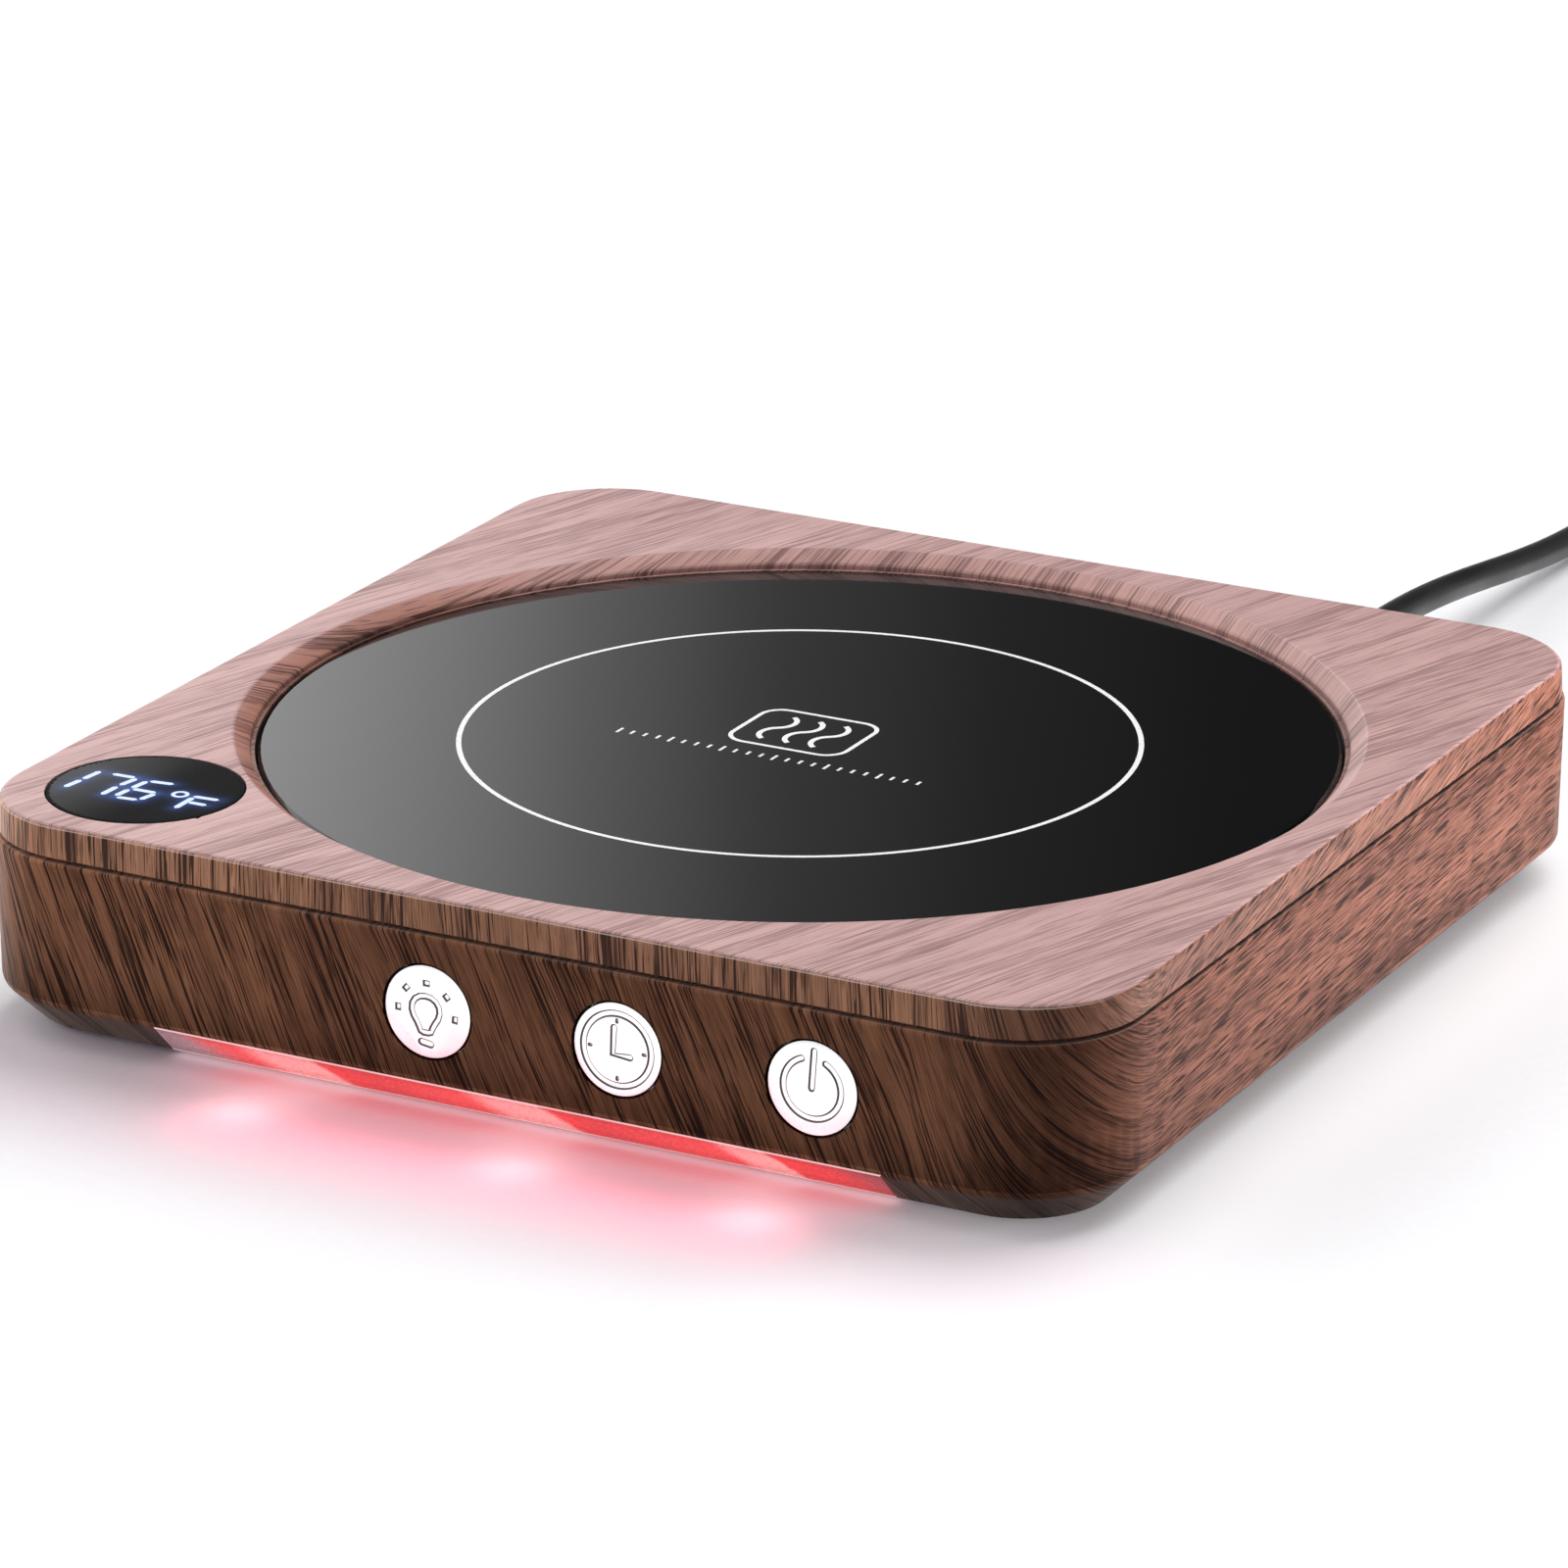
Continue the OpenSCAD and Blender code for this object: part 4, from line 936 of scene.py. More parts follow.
@dataclass(frozen=True)
class Halo(Finish):
    """The smoked window round the lit numbers, with their light soft in it."""

    colour: Colour = rgb(0.02, 0.045, 0.15)
    smoke: Colour = rgb(0.002, 0.002, 0.003)
    # A pale grey is painted on the window's left end as a painted reflection.
    painted_reflection: Colour = rgb(0.078, 0.078, 0.08)
    painted_reflection_x: Flat = (-0.06, -0.047)
    index: float = 1.04

    near = "near_light"
    smear = (90.0, 3.0)
    tones = (0.8, 1.2)

    def dress(self, work: NodeWork, shader: Node) -> None:
        """Wires the window; see Finish.dress."""
        place = work.place()
        near = work.node("ShaderNodeAttribute", attribute_type="GEOMETRY", attribute_name=self.near)
        smear = work.noise(place, *self.smear)
        x, _, _ = work.split(place)
        # Painted reflection: the window's base colour is paler at its left end.
        smoke = work.blend(work.step(x, *self.painted_reflection_x, 1.0, 0.0), self.smoke, self.painted_reflection)
        work.fill(shader, Base_Color=work.scaled(smoke, work.spread(smear, *self.tones)),
                  Roughness=self.dulled(work, smear, SMEAR_SPAN, SMEAR_DULLS), IOR=self.index,
                  Emission_Color=work.scaled(self.colour, near.outputs["Fac"]),
                  Emission_Strength=1.0)


@dataclass(frozen=True)
class Ink(Finish):
    """White ceramic ink fired on the glass."""

    colour: Colour = rgb(0.94, 0.94, 0.95)

    screen_scale = 3800.0
    tones = (0.86, 1.06)
    relief = (0.2, 0.00002)

    def dress(self, work: NodeWork, shader: Node) -> None:
        """Wires the ink; see Finish.dress."""
        screen = work.noise(work.place(), self.screen_scale)
        work.fill(shader, Base_Color=work.scaled(self.colour, work.spread(screen, *self.tones)),
                  Normal=work.bump(screen, *self.relief))


FILM_WALLS = WoodFilm("wood_film_housing", 0.4)
FILM_COVER = WoodFilm("wood_film_cover", 0.4, -86.0, 14.0, rgb(0.6, 0.3, 0.185),
                      rgb(0.38, 0.16, 0.11), gloss=0.5)
SILVER = Moulded("silver_paint", 0.3, rgb(0.935, 0.93, 0.935), 0.00012, 0.05, 1.0)
# The sign's groove walls are dark grey as painted shade in the grooves.
SIGN_PAINTED_SHADE = Moulded("sign_painted_shade", 0.6, rgb(0.16, 0.15, 0.155), 0.00012, 0.06)
INK = Ink("white_ink", 0.5)
NUMERALS = Glow("number_light", 0.4)
WINDOW_GLOW = Halo("window_glow", 0.06)
CORD_SKIN = Moulded("cord_sheath", 0.42, rgb(0.012, 0.012, 0.013), 0.0003, 0.12)

SLOT_FINISHES: dict[str, Finish] = {
    "walnut_film": FILM_WALLS,
    "black_glass": GlossBlack("ceramic_glass", 0.045),
    "smoked_window": GlossBlack("smoked_lens", 0.06, rgb(0.003, 0.003, 0.004), 1.04),
    "black_plastic": Moulded("matt_black_plastic", 0.52, rgb(0.022, 0.022, 0.024), 0.00025, 0.35),
    "black_rubber": Moulded("soft_black_rubber", 0.68, rgb(0.016, 0.016, 0.017), 0.0003, 0.3),
    "silver_plastic": SILVER,
    "frosted_red": LitBar("lit_frost", 0.42),
    "lamp": Glow("diode", 0.3, rgb(1.0, 0.16, 0.12), 3.0),
    "steel": Metal("zinc_plated_steel", 0.32, rgb(0.62, 0.62, 0.63), rgb(0.5, 0.5, 0.47)),
    "aluminium": Metal("milled_aluminium", 0.36, rgb(0.78, 0.78, 0.8), rgb(0.66, 0.66, 0.67),
                       Lay.ALONG_X),
    "copper": Metal("enamelled_copper", 0.3, rgb(0.72, 0.3, 0.14), rgb(0.45, 0.16, 0.07),
                    Lay.ALONG_Z),
    "felt": Felt("white_felt", 0.95),
    "board": CircuitBoard("circuit_board", 0.35),
    "chip": Moulded("chip_epoxy", 0.6, rgb(0.025, 0.025, 0.027), 0.00015, 0.3),
    "white_nylon": Moulded("natural_nylon", 0.45, rgb(0.72, 0.7, 0.64), 0.0002, 0.15),
    "wire": WireSheath("wire_sheath", 0.45),
    "cord": CORD_SKIN,
    "brass": Metal("nickel_on_brass", 0.24, rgb(0.78, 0.74, 0.66), rgb(0.66, 0.6, 0.45),
                   Lay.ALONG_Z),
}


def meshed(name: str, mesh: Shape) -> bpy.types.Mesh:
    """Turns a bmesh into mesh data.

    Args:
        name: The data's name.
        mesh: The bmesh; it is freed here.

    Returns:
        The data.
    """
    data = bpy.data.meshes.new(name)
    mesh.to_mesh(data)
    mesh.free()
    return data


def placed(name: str, data: bpy.types.ID) -> bpy.types.Object:
    """Puts a new object into the scene.

    Args:
        name: Its name.
        data: What it holds.

    Returns:
        The object.
    """
    made = bpy.data.objects.new(name, data)
    bpy.context.scene.collection.objects.link(made)
    return made


def shown(name: str, mesh: Shape, finish: Finish, body: str = CASING,
          smooth: float = 35.0) -> bpy.types.Object:
    """Makes a bmesh a piece of the object, with its finish and the body it rides on.

    Args:
        name: The piece's name.
        mesh: Its shape, in metres in the object's own frame; it is freed here.
        finish: What it is dressed in.
        body: The body that it rides on.
        smooth: Edges flatter than this, in degrees, are shaded smooth.

    Returns:
        The new object.
    """
    bmesh.ops.remove_doubles(mesh, verts=mesh.verts, dist=1e-7)
    bmesh.ops.recalc_face_normals(mesh, faces=mesh.faces)
    for face in mesh.faces:
        face.smooth = True
    for edge in mesh.edges:
        flat = edge.calc_face_angle(0.0) < math.radians(smooth)
        edge.smooth = len(edge.link_faces) == 2 and flat
    made = placed(name, meshed(name, mesh))
    made.data.materials.append(finish.material())
    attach(made, body)
    log.info("%s: %d faces, on %s", name, len(made.data.polygons), body)
    return made


def area_lamp(name: str, place: Point, size: Flat, power: float, colour: Point) -> bpy.types.Object:
    """Hangs a lamp that faces down and isn't mirrored in gloss.

    Args:
        name: Its name.
        place: Where it hangs, in millimetres.
        size: How wide and deep it is, in millimetres.
        power: Its power in watts.
        colour: Its colour.

    Returns:
        The new lamp.
    """
    data = bpy.data.lights.new(name, "AREA")
    data.shape, data.size, data.size_y = "RECTANGLE", size[0] * MM, size[1] * MM
    data.energy, data.color = power, colour
    made = placed(name, data)
    made.location = Vector(place) * MM
    made.visible_glossy = False
    return made


class Sheet:
    """A thin flat drawing of bars, rings and strips, its face up, in millimetres."""

    def __init__(self, top: float, thick: float) -> None:
        """Starts an empty drawing.

        Args:
            top: The height of its face.
            thick: Its thickness.
        """
        self.mesh = bmesh.new()
        self.top = top
        self.thick = thick

    def row(self, points: Iterable[Vector]) -> list[bmesh.types.BMVert]:
        """Returns new vertices on the underside, at these points."""
        low = (self.top - self.thick) * MM
        return [self.mesh.verts.new((p.x * MM, p.y * MM, low)) for p in points]

    def thicken(self, faces: Sequence[bmesh.types.BMFace]) -> None:
        """Raises faces of the underside to the drawing's thickness.

        Args:
            faces: The faces.
        """
        raised = bmesh.ops.extrude_face_region(self.mesh, geom=faces)["geom"]
        moved = [item for item in raised if isinstance(item, bmesh.types.BMVert)]
        bmesh.ops.translate(self.mesh, vec=(0, 0, self.thick * MM), verts=moved)

    def bar(self, start: Flat, end: Flat, width: float, point: float = 0.0) -> None:
        """Adds a straight bar with pointed or square ends.

        Args:
            start: The first end's x and y.
            end: The other end's.
            width: Its width.
            point: How far each end is pointed.
        """
        a, b = Vector(start), Vector(end)
        along = (b - a).normalized()
        side = Vector((-along.y, along.x)) * width / 2
        inner_a, inner_b = a + along * point, b - along * point
        ring = [inner_a - side, inner_b - side, b, inner_b + side, inner_a + side, a]
        if not point:
            ring = [a - side, b - side, b + side, a + side]
        self.thicken([self.mesh.faces.new(self.row(ring))])

    def ring(self, centre: Flat, radius: float, width: float, turn: float = 2 * math.pi,
             start: float = 0.0, steps: int = 96) -> None:
        """Adds a ring or an arc by spinning its section.

        Args:
            centre: Its middle's x and y.
            radius: The radius of its own middle line.
            width: Its width.
            turn: How far round it goes, in radians.
            start: Where it starts, in radians from +X.
            steps: Segments.
        """
        mesh, low = self.mesh, self.top - self.thick
        inner, outer = radius - width / 2, radius + width / 2
        way = Vector((math.cos(start), math.sin(start), 0))
        middle = Vector((centre[0], centre[1], 0))
        corners = ((inner, low), (outer, low), (outer, self.top), (inner, self.top))
        verts = [mesh.verts.new((middle + way * r + Vector((0, 0, z))) * MM) for r, z in corners]
        edges = [mesh.edges.new(pair) for pair in zip(verts, verts[1:] + verts[:1])]
        whole = abs(turn - 2 * math.pi) < 1e-6
        bmesh.ops.spin(mesh, geom=verts + edges, cent=middle * MM, axis=(0, 0, 1), angle=turn,
                       steps=steps, use_merge=whole, use_duplicate=False)
        if not whole:
            ends = [edge for edge in mesh.edges if edge.is_boundary]
            bmesh.ops.holes_fill(mesh, edges=ends, sides=4)

    def strip(self, points: Sequence[Flat], width: float, closed: bool = False) -> None:
        """Adds a strip of one width along a line, with round ends where it is open.

        Args:
            points: The line.
            width: The strip's width.
            closed: Whether the line runs back to its start.
        """
        line = [Vector(point) for point in points]
        sides = []
        for index, point in enumerate(line):
            before = line[index - 1] if closed or index else point
            after = line[(index + 1) % len(line)] if closed or index < len(line) - 1 else point
            way = (after - before).normalized()
            sides.append(Vector((-way.y, way.x)) * width / 2)
        left = [p + side for p, side in zip(line, sides)]
        right = [p - side for p, side in zip(line, sides)]
        new = self.mesh.faces.new
        if closed:
            a, b = self.row(left), self.row(right)
            faces = [new((a[i - 1], a[i], b[i], b[i - 1])) for i in range(len(line))]
        else:
            ring = right + self.round_end(line[-1], -sides[-1])
            ring += left[::-1] + self.round_end(line[0], sides[0])
            faces = [new(self.row(ring))]
        self.thicken(faces)

    @staticmethod
    def round_end(centre: Vector, reach: Vector, steps: int = 6) -> list[Vector]:
        """Rounds off one end of a strip.

        Args:
            centre: The end of the strip's middle line.
            reach: From there to the corner that is passed first.
            steps: Segments.

        Returns:
            The points between the strip's two corners.
        """
        angles = [math.pi * step / steps for step in range(1, steps)]
        return [centre + Matrix.Rotation(angle, 2) @ reach for angle in angles]


@dataclass
class View:
    """The camera."""

    place: Point = (0.357108, -0.681243, 0.29229)
    yaw: float = -0.485016
    pitch: float = -0.343339
    roll: float = -0.002263
    lens: float = 176.41
    sensor: float = 36.0

    def build(self) -> None:
        """Makes the camera and gives it to the scene."""
        sin, cos, flat = math.sin(self.yaw), math.cos(self.yaw), math.cos(self.pitch)
        forward = Vector((sin * flat, cos * flat, math.sin(self.pitch)))
        right = Matrix.Rotation(self.roll, 3, forward) @ Vector((cos, -sin, 0))
        up = right.cross(forward)
        data = bpy.data.cameras.new("camera")
        data.lens, data.sensor_width = self.lens, self.sensor
        data.clip_start, data.clip_end = 0.01, 50.0
        made = placed("camera", data)
        made.matrix_world = Matrix((right, up, -forward)).transposed().to_4x4()
        made.location = self.place
        bpy.context.scene.camera = made
        log.info("camera: %.0f mm lens", self.lens)


@dataclass
class Studio:
    """The floor, the lamps and the world: a plain pale table under soft light."""

    floor_size: float = 6.0
    world_light: float = 0.1
    zenith_light: float = 0.3
    table: Colour = rgb(0.985, 0.99, 1.0)
    # A pink glow is painted on the floor in front of the light bar, in the shade there.
    table_painted_glow: Colour = rgb(0.985, 0.9, 0.95)
    shade: Colour = rgb(0.02, 0.016, 0.026)
    mirrored: Colour = grey(0.36)
    painted_glow_y: tuple[Flat, Flat] = ((-0.1, -0.076), (-0.066, -0.05))
    painted_glow_x: Flat = (0.062, 0.085)
    # Light is painted on a strip of the floor at the right of the casing, lifting the shadow there.
    painted_fill_x: tuple[Flat, Flat] = ((0.03, 0.05), (0.066, 0.088))
    painted_fill_light: float = 0.13
    paleness: Flat = (0.97, 0.1)
    fibre_tones: Flat = (0.99, 1.01)
    suns: Sequence[tuple[str, Point, float, float, bool]] = (
        ("back", (0.1, 0.58, 0.8), 2.0, 50.0, True),
        ("left", (-0.8, 0.15, 0.5), 0.55, 60.0, True),
        ("left_fill", (-0.8, 0.15, 0.5), 0.45, 50.0, False),
        ("front", (-0.8, -0.6, 0.3), 0.75, 50.0, True))
    card_way: Point = (-0.439, 0.833, 0.3366)
    card_right: Point = (0.885, 0.466, 0.0)
    card_far: float = 2.2
    card_size: Flat = (2.6, 1.6)
    card_light: float = 1.75
    card_stops: Sequence[Flat] = ((0.0, 1.0), (0.455, 0.96), (0.4735, 0.56), (0.485, 0.3),
                                  (0.498, 0.115), (0.515, 0.045), (0.533, 0.018), (1.0, 0.015))

    def build(self) -> None:
        """Makes the floor, the world, the lamps and the card that the glass reflects."""
        bpy.context.scene.view_settings.view_transform = "Standard"
        self.world()
        self.floor()
        for sun in self.suns:
            self.sun(*sun)
        self.side_lamp()
        self.card()

    def world(self) -> None:
        """Makes a world, white where it is seen or mirrored, and as a lamp brightest overhead."""
        made = bpy.data.worlds.new("studio")
        made.use_nodes = True
        bpy.context.scene.world = made
        work = NodeWork(made.node_tree)
        m = work.maths
        rays = work.node("ShaderNodeLightPath").outputs
        seen = m("MAXIMUM", rays["Is Camera Ray"], rays["Is Glossy Ray"])
        seen = m("MAXIMUM", seen, rays["Is Transmission Ray"])
        _, _, height = work.split(work.node("ShaderNodeTexCoord").outputs["Generated"])
        lit = m("MULTIPLY_ADD", m("MAXIMUM", height, 0.0), self.zenith_light, self.world_light)
        work.fill(made.node_tree.nodes["Background"], Color=grey(1.0),
                  Strength=m("MAXIMUM", seen, lit))

    @staticmethod
    def square(name: str, paint: str, cuts: int,
               reach: float) -> tuple[bpy.types.Object, NodeWork, Node]:
        """Makes a flat square with a material of its own.

        Args:
            name: The square's name.
            paint: The material's name.
            cuts: Into how many rows it is cut.
            reach: How far it goes each way from the middle, in metres.

        Returns:
            The object, its material's nodes and its Principled BSDF.
        """
        mesh = bmesh.new()
        bmesh.ops.create_grid(mesh, x_segments=cuts, y_segments=cuts, size=reach)
        made = placed(name, meshed(name, mesh))
        material, work, shader = new_material(paint)
        made.data.materials.append(material)
        return made, work, shader

    def floor(self) -> None:
        """Makes the table top, white in the light and soft grey in shadow, with a painted pink glow
        before the light bar and painted light on a strip at the right of the casing.
        """
        made, work, shader = self.square("floor", "table_top", 8, self.floor_size / 2)
        place = work.place()
        x, y, _ = work.split(place)
        rays = work.node("ShaderNodeLightPath").outputs
        fibre = work.spread(work.noise(place, 700.0, 3.0), *self.fibre_tones)
        paleness = work.step(rays["Is Diffuse Ray"], 0.0, 1.0, *self.paleness)
        # Painted glow: the floor is tinted pink in front of the light bar.
        near = work.times(work.between(y, *self.painted_glow_y),
                          work.step(work.maths("ABSOLUTE", x), *self.painted_glow_x, 1.0, 0.0))
        white = work.blend(near, self.table, self.table_painted_glow)
        # Painted light: the floor glows brighter on a strip from 30 to 88 mm right of the middle.
        fill = work.between(x, *self.painted_fill_x, self.painted_fill_light)
        shade = work.blend(fill, self.shade, grey(1.0))
        work.fill(shader, Base_Color=work.scaled(white, work.times(paleness, fibre)), Roughness=0.9,
                  Specular_IOR_Level=0.1, Emission_Strength=1.0,
                  Emission_Color=work.blend(rays["Is Glossy Ray"], shade, self.mirrored))

    def sun(self, name: str, way: Point, strength: float, spread: float, shadow: bool) -> None:
        """Adds a broad soft lamp that is far away, and is not mirrored in gloss.

        Args:
            name: Its name.
            way: The way towards it.
            strength: Its light in watts a square metre.
            spread: How wide it is, in degrees.
            shadow: Whether it casts shadows.
        """
        data = bpy.data.lights.new(name, "SUN")
        data.energy, data.angle, data.use_shadow = strength, math.radians(spread), shadow
        made = placed(name, data)
        made.rotation_euler = Vector(way).to_track_quat("Z", "Y").to_euler()
        made.visible_glossy = False

    def side_lamp(self) -> None:
        """Adds a low lamp off to the right, which brightens the right wall towards the back."""
        made = area_lamp("side", (300.0, 170.0, 20.0), (120.0, 30.0), 1.26, (1.0, 1.0, 1.0))
        made.rotation_euler = Vector((-1, -0.45, 0)).to_track_quat("-Z", "Y").to_euler()

    def card(self) -> None:
        """Makes the graded card behind the object, seen only as a reflection."""
        made, work, shader = self.square("card", "graded_card", 1, 1.0)
        way, right = Vector(self.card_way), Vector(self.card_right)
        up = right.cross(way)
        turn = Matrix((right, up, right.cross(up))).transposed().to_4x4()
        size = Matrix.Diagonal((*self.card_size, 1.0, 1.0))
        made.matrix_world = Matrix.Translation(way * self.card_far) @ turn @ size
        made.visible_camera = False
        made.visible_diffuse = False
        made.visible_shadow = False
        x, _, _ = work.split(work.place())
        stops = [(at, grey(level)) for at, level in self.card_stops]
        work.fill(shader, Emission_Color=work.ramp(work.maths("MULTIPLY_ADD", x, 0.5, 0.5), stops),
                  Emission_Strength=self.card_light, Base_Color=grey(0.0), Specular_IOR_Level=0.0)


@dataclass
class Cord:
    """The power cord: out of the back, down to the table, round the coil, on to the adapter."""

    diameter: float = 3.4
    length: float = 1.2
    exit: Point = (22.5, 65.0, 8.8)
    run: Sequence[Flat] = (
        (65, 8.8), (74, 8.8), (83, 8.8), (92, 8.8), (100, 8.7), (108, 8.4), (116, 7.8), (124, 6.9),
        (132, 5.8), (140, 4.6), (148, 3.5), (156, 2.6), (164, 2), (172, 1.75), (181, 1.7),
        (190, 1.7))
    tail: Sequence[Point] = (
        (64, 220.4, 8.3), (69, 214.8, 6.9), (74.3, 208, 4.9), (79.2, 200.5, 3.1), (83, 192.5, 2.1),
        (85.3, 184, 2.6), (86, 175, 4), (86, 166, 5))
    middle: Flat = (46.6, 203.0)
    steps: int = 20
    change: int = 5
    legs: Sequence[tuple[int, float, float, float]] = (
        (15, 24.1, 1.7, 0), (15, 20.65, 1.7, 0), (15, 17.2, 1.7, 0), (15, 13.75, 1.7, -1.4),
        (5, 13.75, 5.12, 0), (15, 17.2, 5.12, 0), (15, 20.65, 5.12, 0), (15, 24.1, 5.12, 1.7),
        (17, 22.4, 8.1, 0))
    joined: Sequence[str] = ("cord_tie", "adapter_boot", "adapter_case", "adapter_lid",
                             "plug_blades")

    def coil(self) -> list[Point]:
        """Winds the coil in three layers, each turn a diameter from the next.

        Each leg holds its radius and height for some steps and then changes to the next leg's,
        swinging out by its last number where it climbs a layer.

        Returns:
            The points of the cord's middle line, in millimetres.
        """
        points = []
        for index, (hold, radius, height, swing) in enumerate(self.legs):
            last = index == len(self.legs) - 1
            _, next_radius, next_height, _ = self.legs[index if last else index + 1]
            for step in range(hold + (0 if last else self.change)):
                share = max(0.0, (step - hold) / self.change)
                share = share * share * (3 - 2 * share)
                r = radius + (next_radius - radius) * share + swing * math.sin(math.pi * share)
                z = height + (next_height - height) * math.sin(math.pi / 2 * share)
                angle = math.pi - 2 * math.pi * len(points) / self.steps
                points.append((*on_circle(self.middle, r, angle), z))
        return points

    def build(self) -> None:
        points = [(self.exit[0], y, z) for y, z in self.run] + self.coil() + list(self.tail)
        data = bpy.data.curves.new("cord", "CURVE")
        data.dimensions = "3D"
        data.bevel_depth = self.diameter / 2 * MM
        data.bevel_resolution = 5
        data.resolution_u = 4
        data.use_fill_caps = True
        line = data.splines.new("BEZIER")
        line.bezier_points.add(len(points) - 1)
        for knot, point in zip(line.bezier_points, points):
            knot.co = Vector(point) * MM
            knot.handle_left_type = knot.handle_right_type = "AUTO"
        made = placed("cord", data)
        data.materials.append(CORD_SKIN.material())
        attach(made, CASING)
        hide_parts("power_cord", "cord_coil")
        log.info("cord: %d points", len(points))


@dataclass
class Casing:
    """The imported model's own solids, each dressed in its slot's finish."""

    cover: str = "top_cover"

    def build(self) -> None:
        """Gives every node its finish."""
        slots = {row["node"]: row["material_slot"] for row in frame["record"]["subparts"]}
        for name, node in frame["nodes"].items():
            finish = FILM_COVER if name == self.cover else SLOT_FINISHES[slots[name]]
            material = finish.material()
            if not node.material_slots:
                node.data.materials.append(material)
            for slot in node.material_slots:
                slot.material = material
        log.info("casing: %d nodes dressed", len(frame["nodes"]))


@dataclass
class FilmReturn:
    """The end of the film, folded in at the foot of the recess round the glass."""

    inner: float = 57.74
    outer: float = 58.24
    top: float = 22.37
    thick: float = 0.3

    def build(self) -> None:
        """Makes the narrow flat ring."""
        sheet = Sheet(self.top, self.thick)
        sheet.ring((0, 0), (self.inner + self.outer) / 2, self.outer - self.inner, steps=192)
        shown("film_return", sheet.mesh, FILM_COVER)


@dataclass
class Display:
    """The lit numbers in the round window: 176 and a degree sign with F."""

    centre: Flat = (-49.8, -50.68)
    top: float = 24.3
    window_r: float = 10.2
    margin: float = 0.3
    rows: int = 72
    width: float = 0.66
    segments: Sequence[tuple[Flat, Flat]] = (
        ((-7.73, -3.43), (-7.37, -0.75)), ((-7.34, -0.45), (-7.05, 2.44)),
        ((-5.53, 2.34), (-2.75, 2.42)), ((-2.5, 2.3), (-2.95, -0.28)),
        ((-2.98, -0.75), (-3.1, -3.58)), ((-0.88, 2.25), (1.84, 2.6)),
        ((-1.1, 2.08), (-1.4, -0.42)), ((-1.2, -0.58), (1.61, -0.52)),
        ((-1.42, -0.9), (-1.62, -3.2)), ((-1.35, -3.49), (1.05, -3.2)),
        ((1.68, -0.76), (1.2, -3.0)), ((5.55, 0.4), (8.54, 0.63)),
        ((5.75, 0.1), (5.78, -3.5)), ((6.02, -1.3), (8.22, -1.3)))
    degree: Flat = (4.05, 0.3)
    degree_r: float = 0.75
    degree_width: float = 0.42
    core: float = 0.25
    fade: float = 0.5
    reach: float = 4.0

    def build(self) -> None:
        """Makes the lit segments and the soft light round them."""
        sheet = Sheet(self.top + 0.05, 0.02)
        for start, end in self.segments:
            sheet.bar(self.at(start), self.at(end), self.width, self.width / 2)
        sheet.ring(self.at(self.degree), self.degree_r, self.degree_width, steps=24)
        shown("display_numbers", sheet.mesh, NUMERALS)
        self.halo()

    def at(self, point: Flat) -> Flat:
        """Returns a point of the window in the object's frame."""
        return (self.centre[0] + point[0], self.centre[1] + point[1])

    def halo(self) -> None:
        """Makes the thin gloss disc that carries the numbers' soft light."""
        mesh = bmesh.new()
        bmesh.ops.create_grid(mesh, x_segments=self.rows, y_segments=self.rows,
                              size=self.window_r * MM)
        rim = (self.window_r - self.margin) * MM
        outside = [face for face in mesh.faces if face.calc_center_median().length > rim]
        bmesh.ops.delete(mesh, geom=outside, context="FACES")
        near = mesh.verts.layers.float.new(WINDOW_GLOW.near)
        for vert in mesh.verts:
            vert[near] = self.glow(Vector((vert.co.x, vert.co.y)) / MM)
        place = Vector((self.centre[0], self.centre[1], self.top + 0.02)) * MM
        bmesh.ops.translate(mesh, vec=place, verts=mesh.verts)
        shown("display_glow", mesh, WINDOW_GLOW)

    def glow(self, point: Vector) -> float:
        """Measures the numbers' soft light at a point of the window.

        Args:
            point: The point, in millimetres from the window's middle.

        Returns:
            The light, 1 at a number.
        """
        gaps = [self.gap(point, Vector(a), Vector(b)) for a, b in self.segments]
        gaps.append(abs((point - Vector(self.degree)).length - self.degree_r))
        return sum(math.exp(-max(0.0, gap - self.core) / self.fade)
                   for gap in gaps if gap < self.reach)

    @staticmethod
    def gap(point: Vector, start: Vector, end: Vector) -> float:
        """Measures the distance from a point to a segment.

        Args:
            point: The point.
            start: The segment's first end.
            end: Its other end.

        Returns:
            The distance.
        """
        way = end - start
        share = max(0.0, min(1.0, (point - start).dot(way) / way.length_squared))
        return (point - start - way * share).length


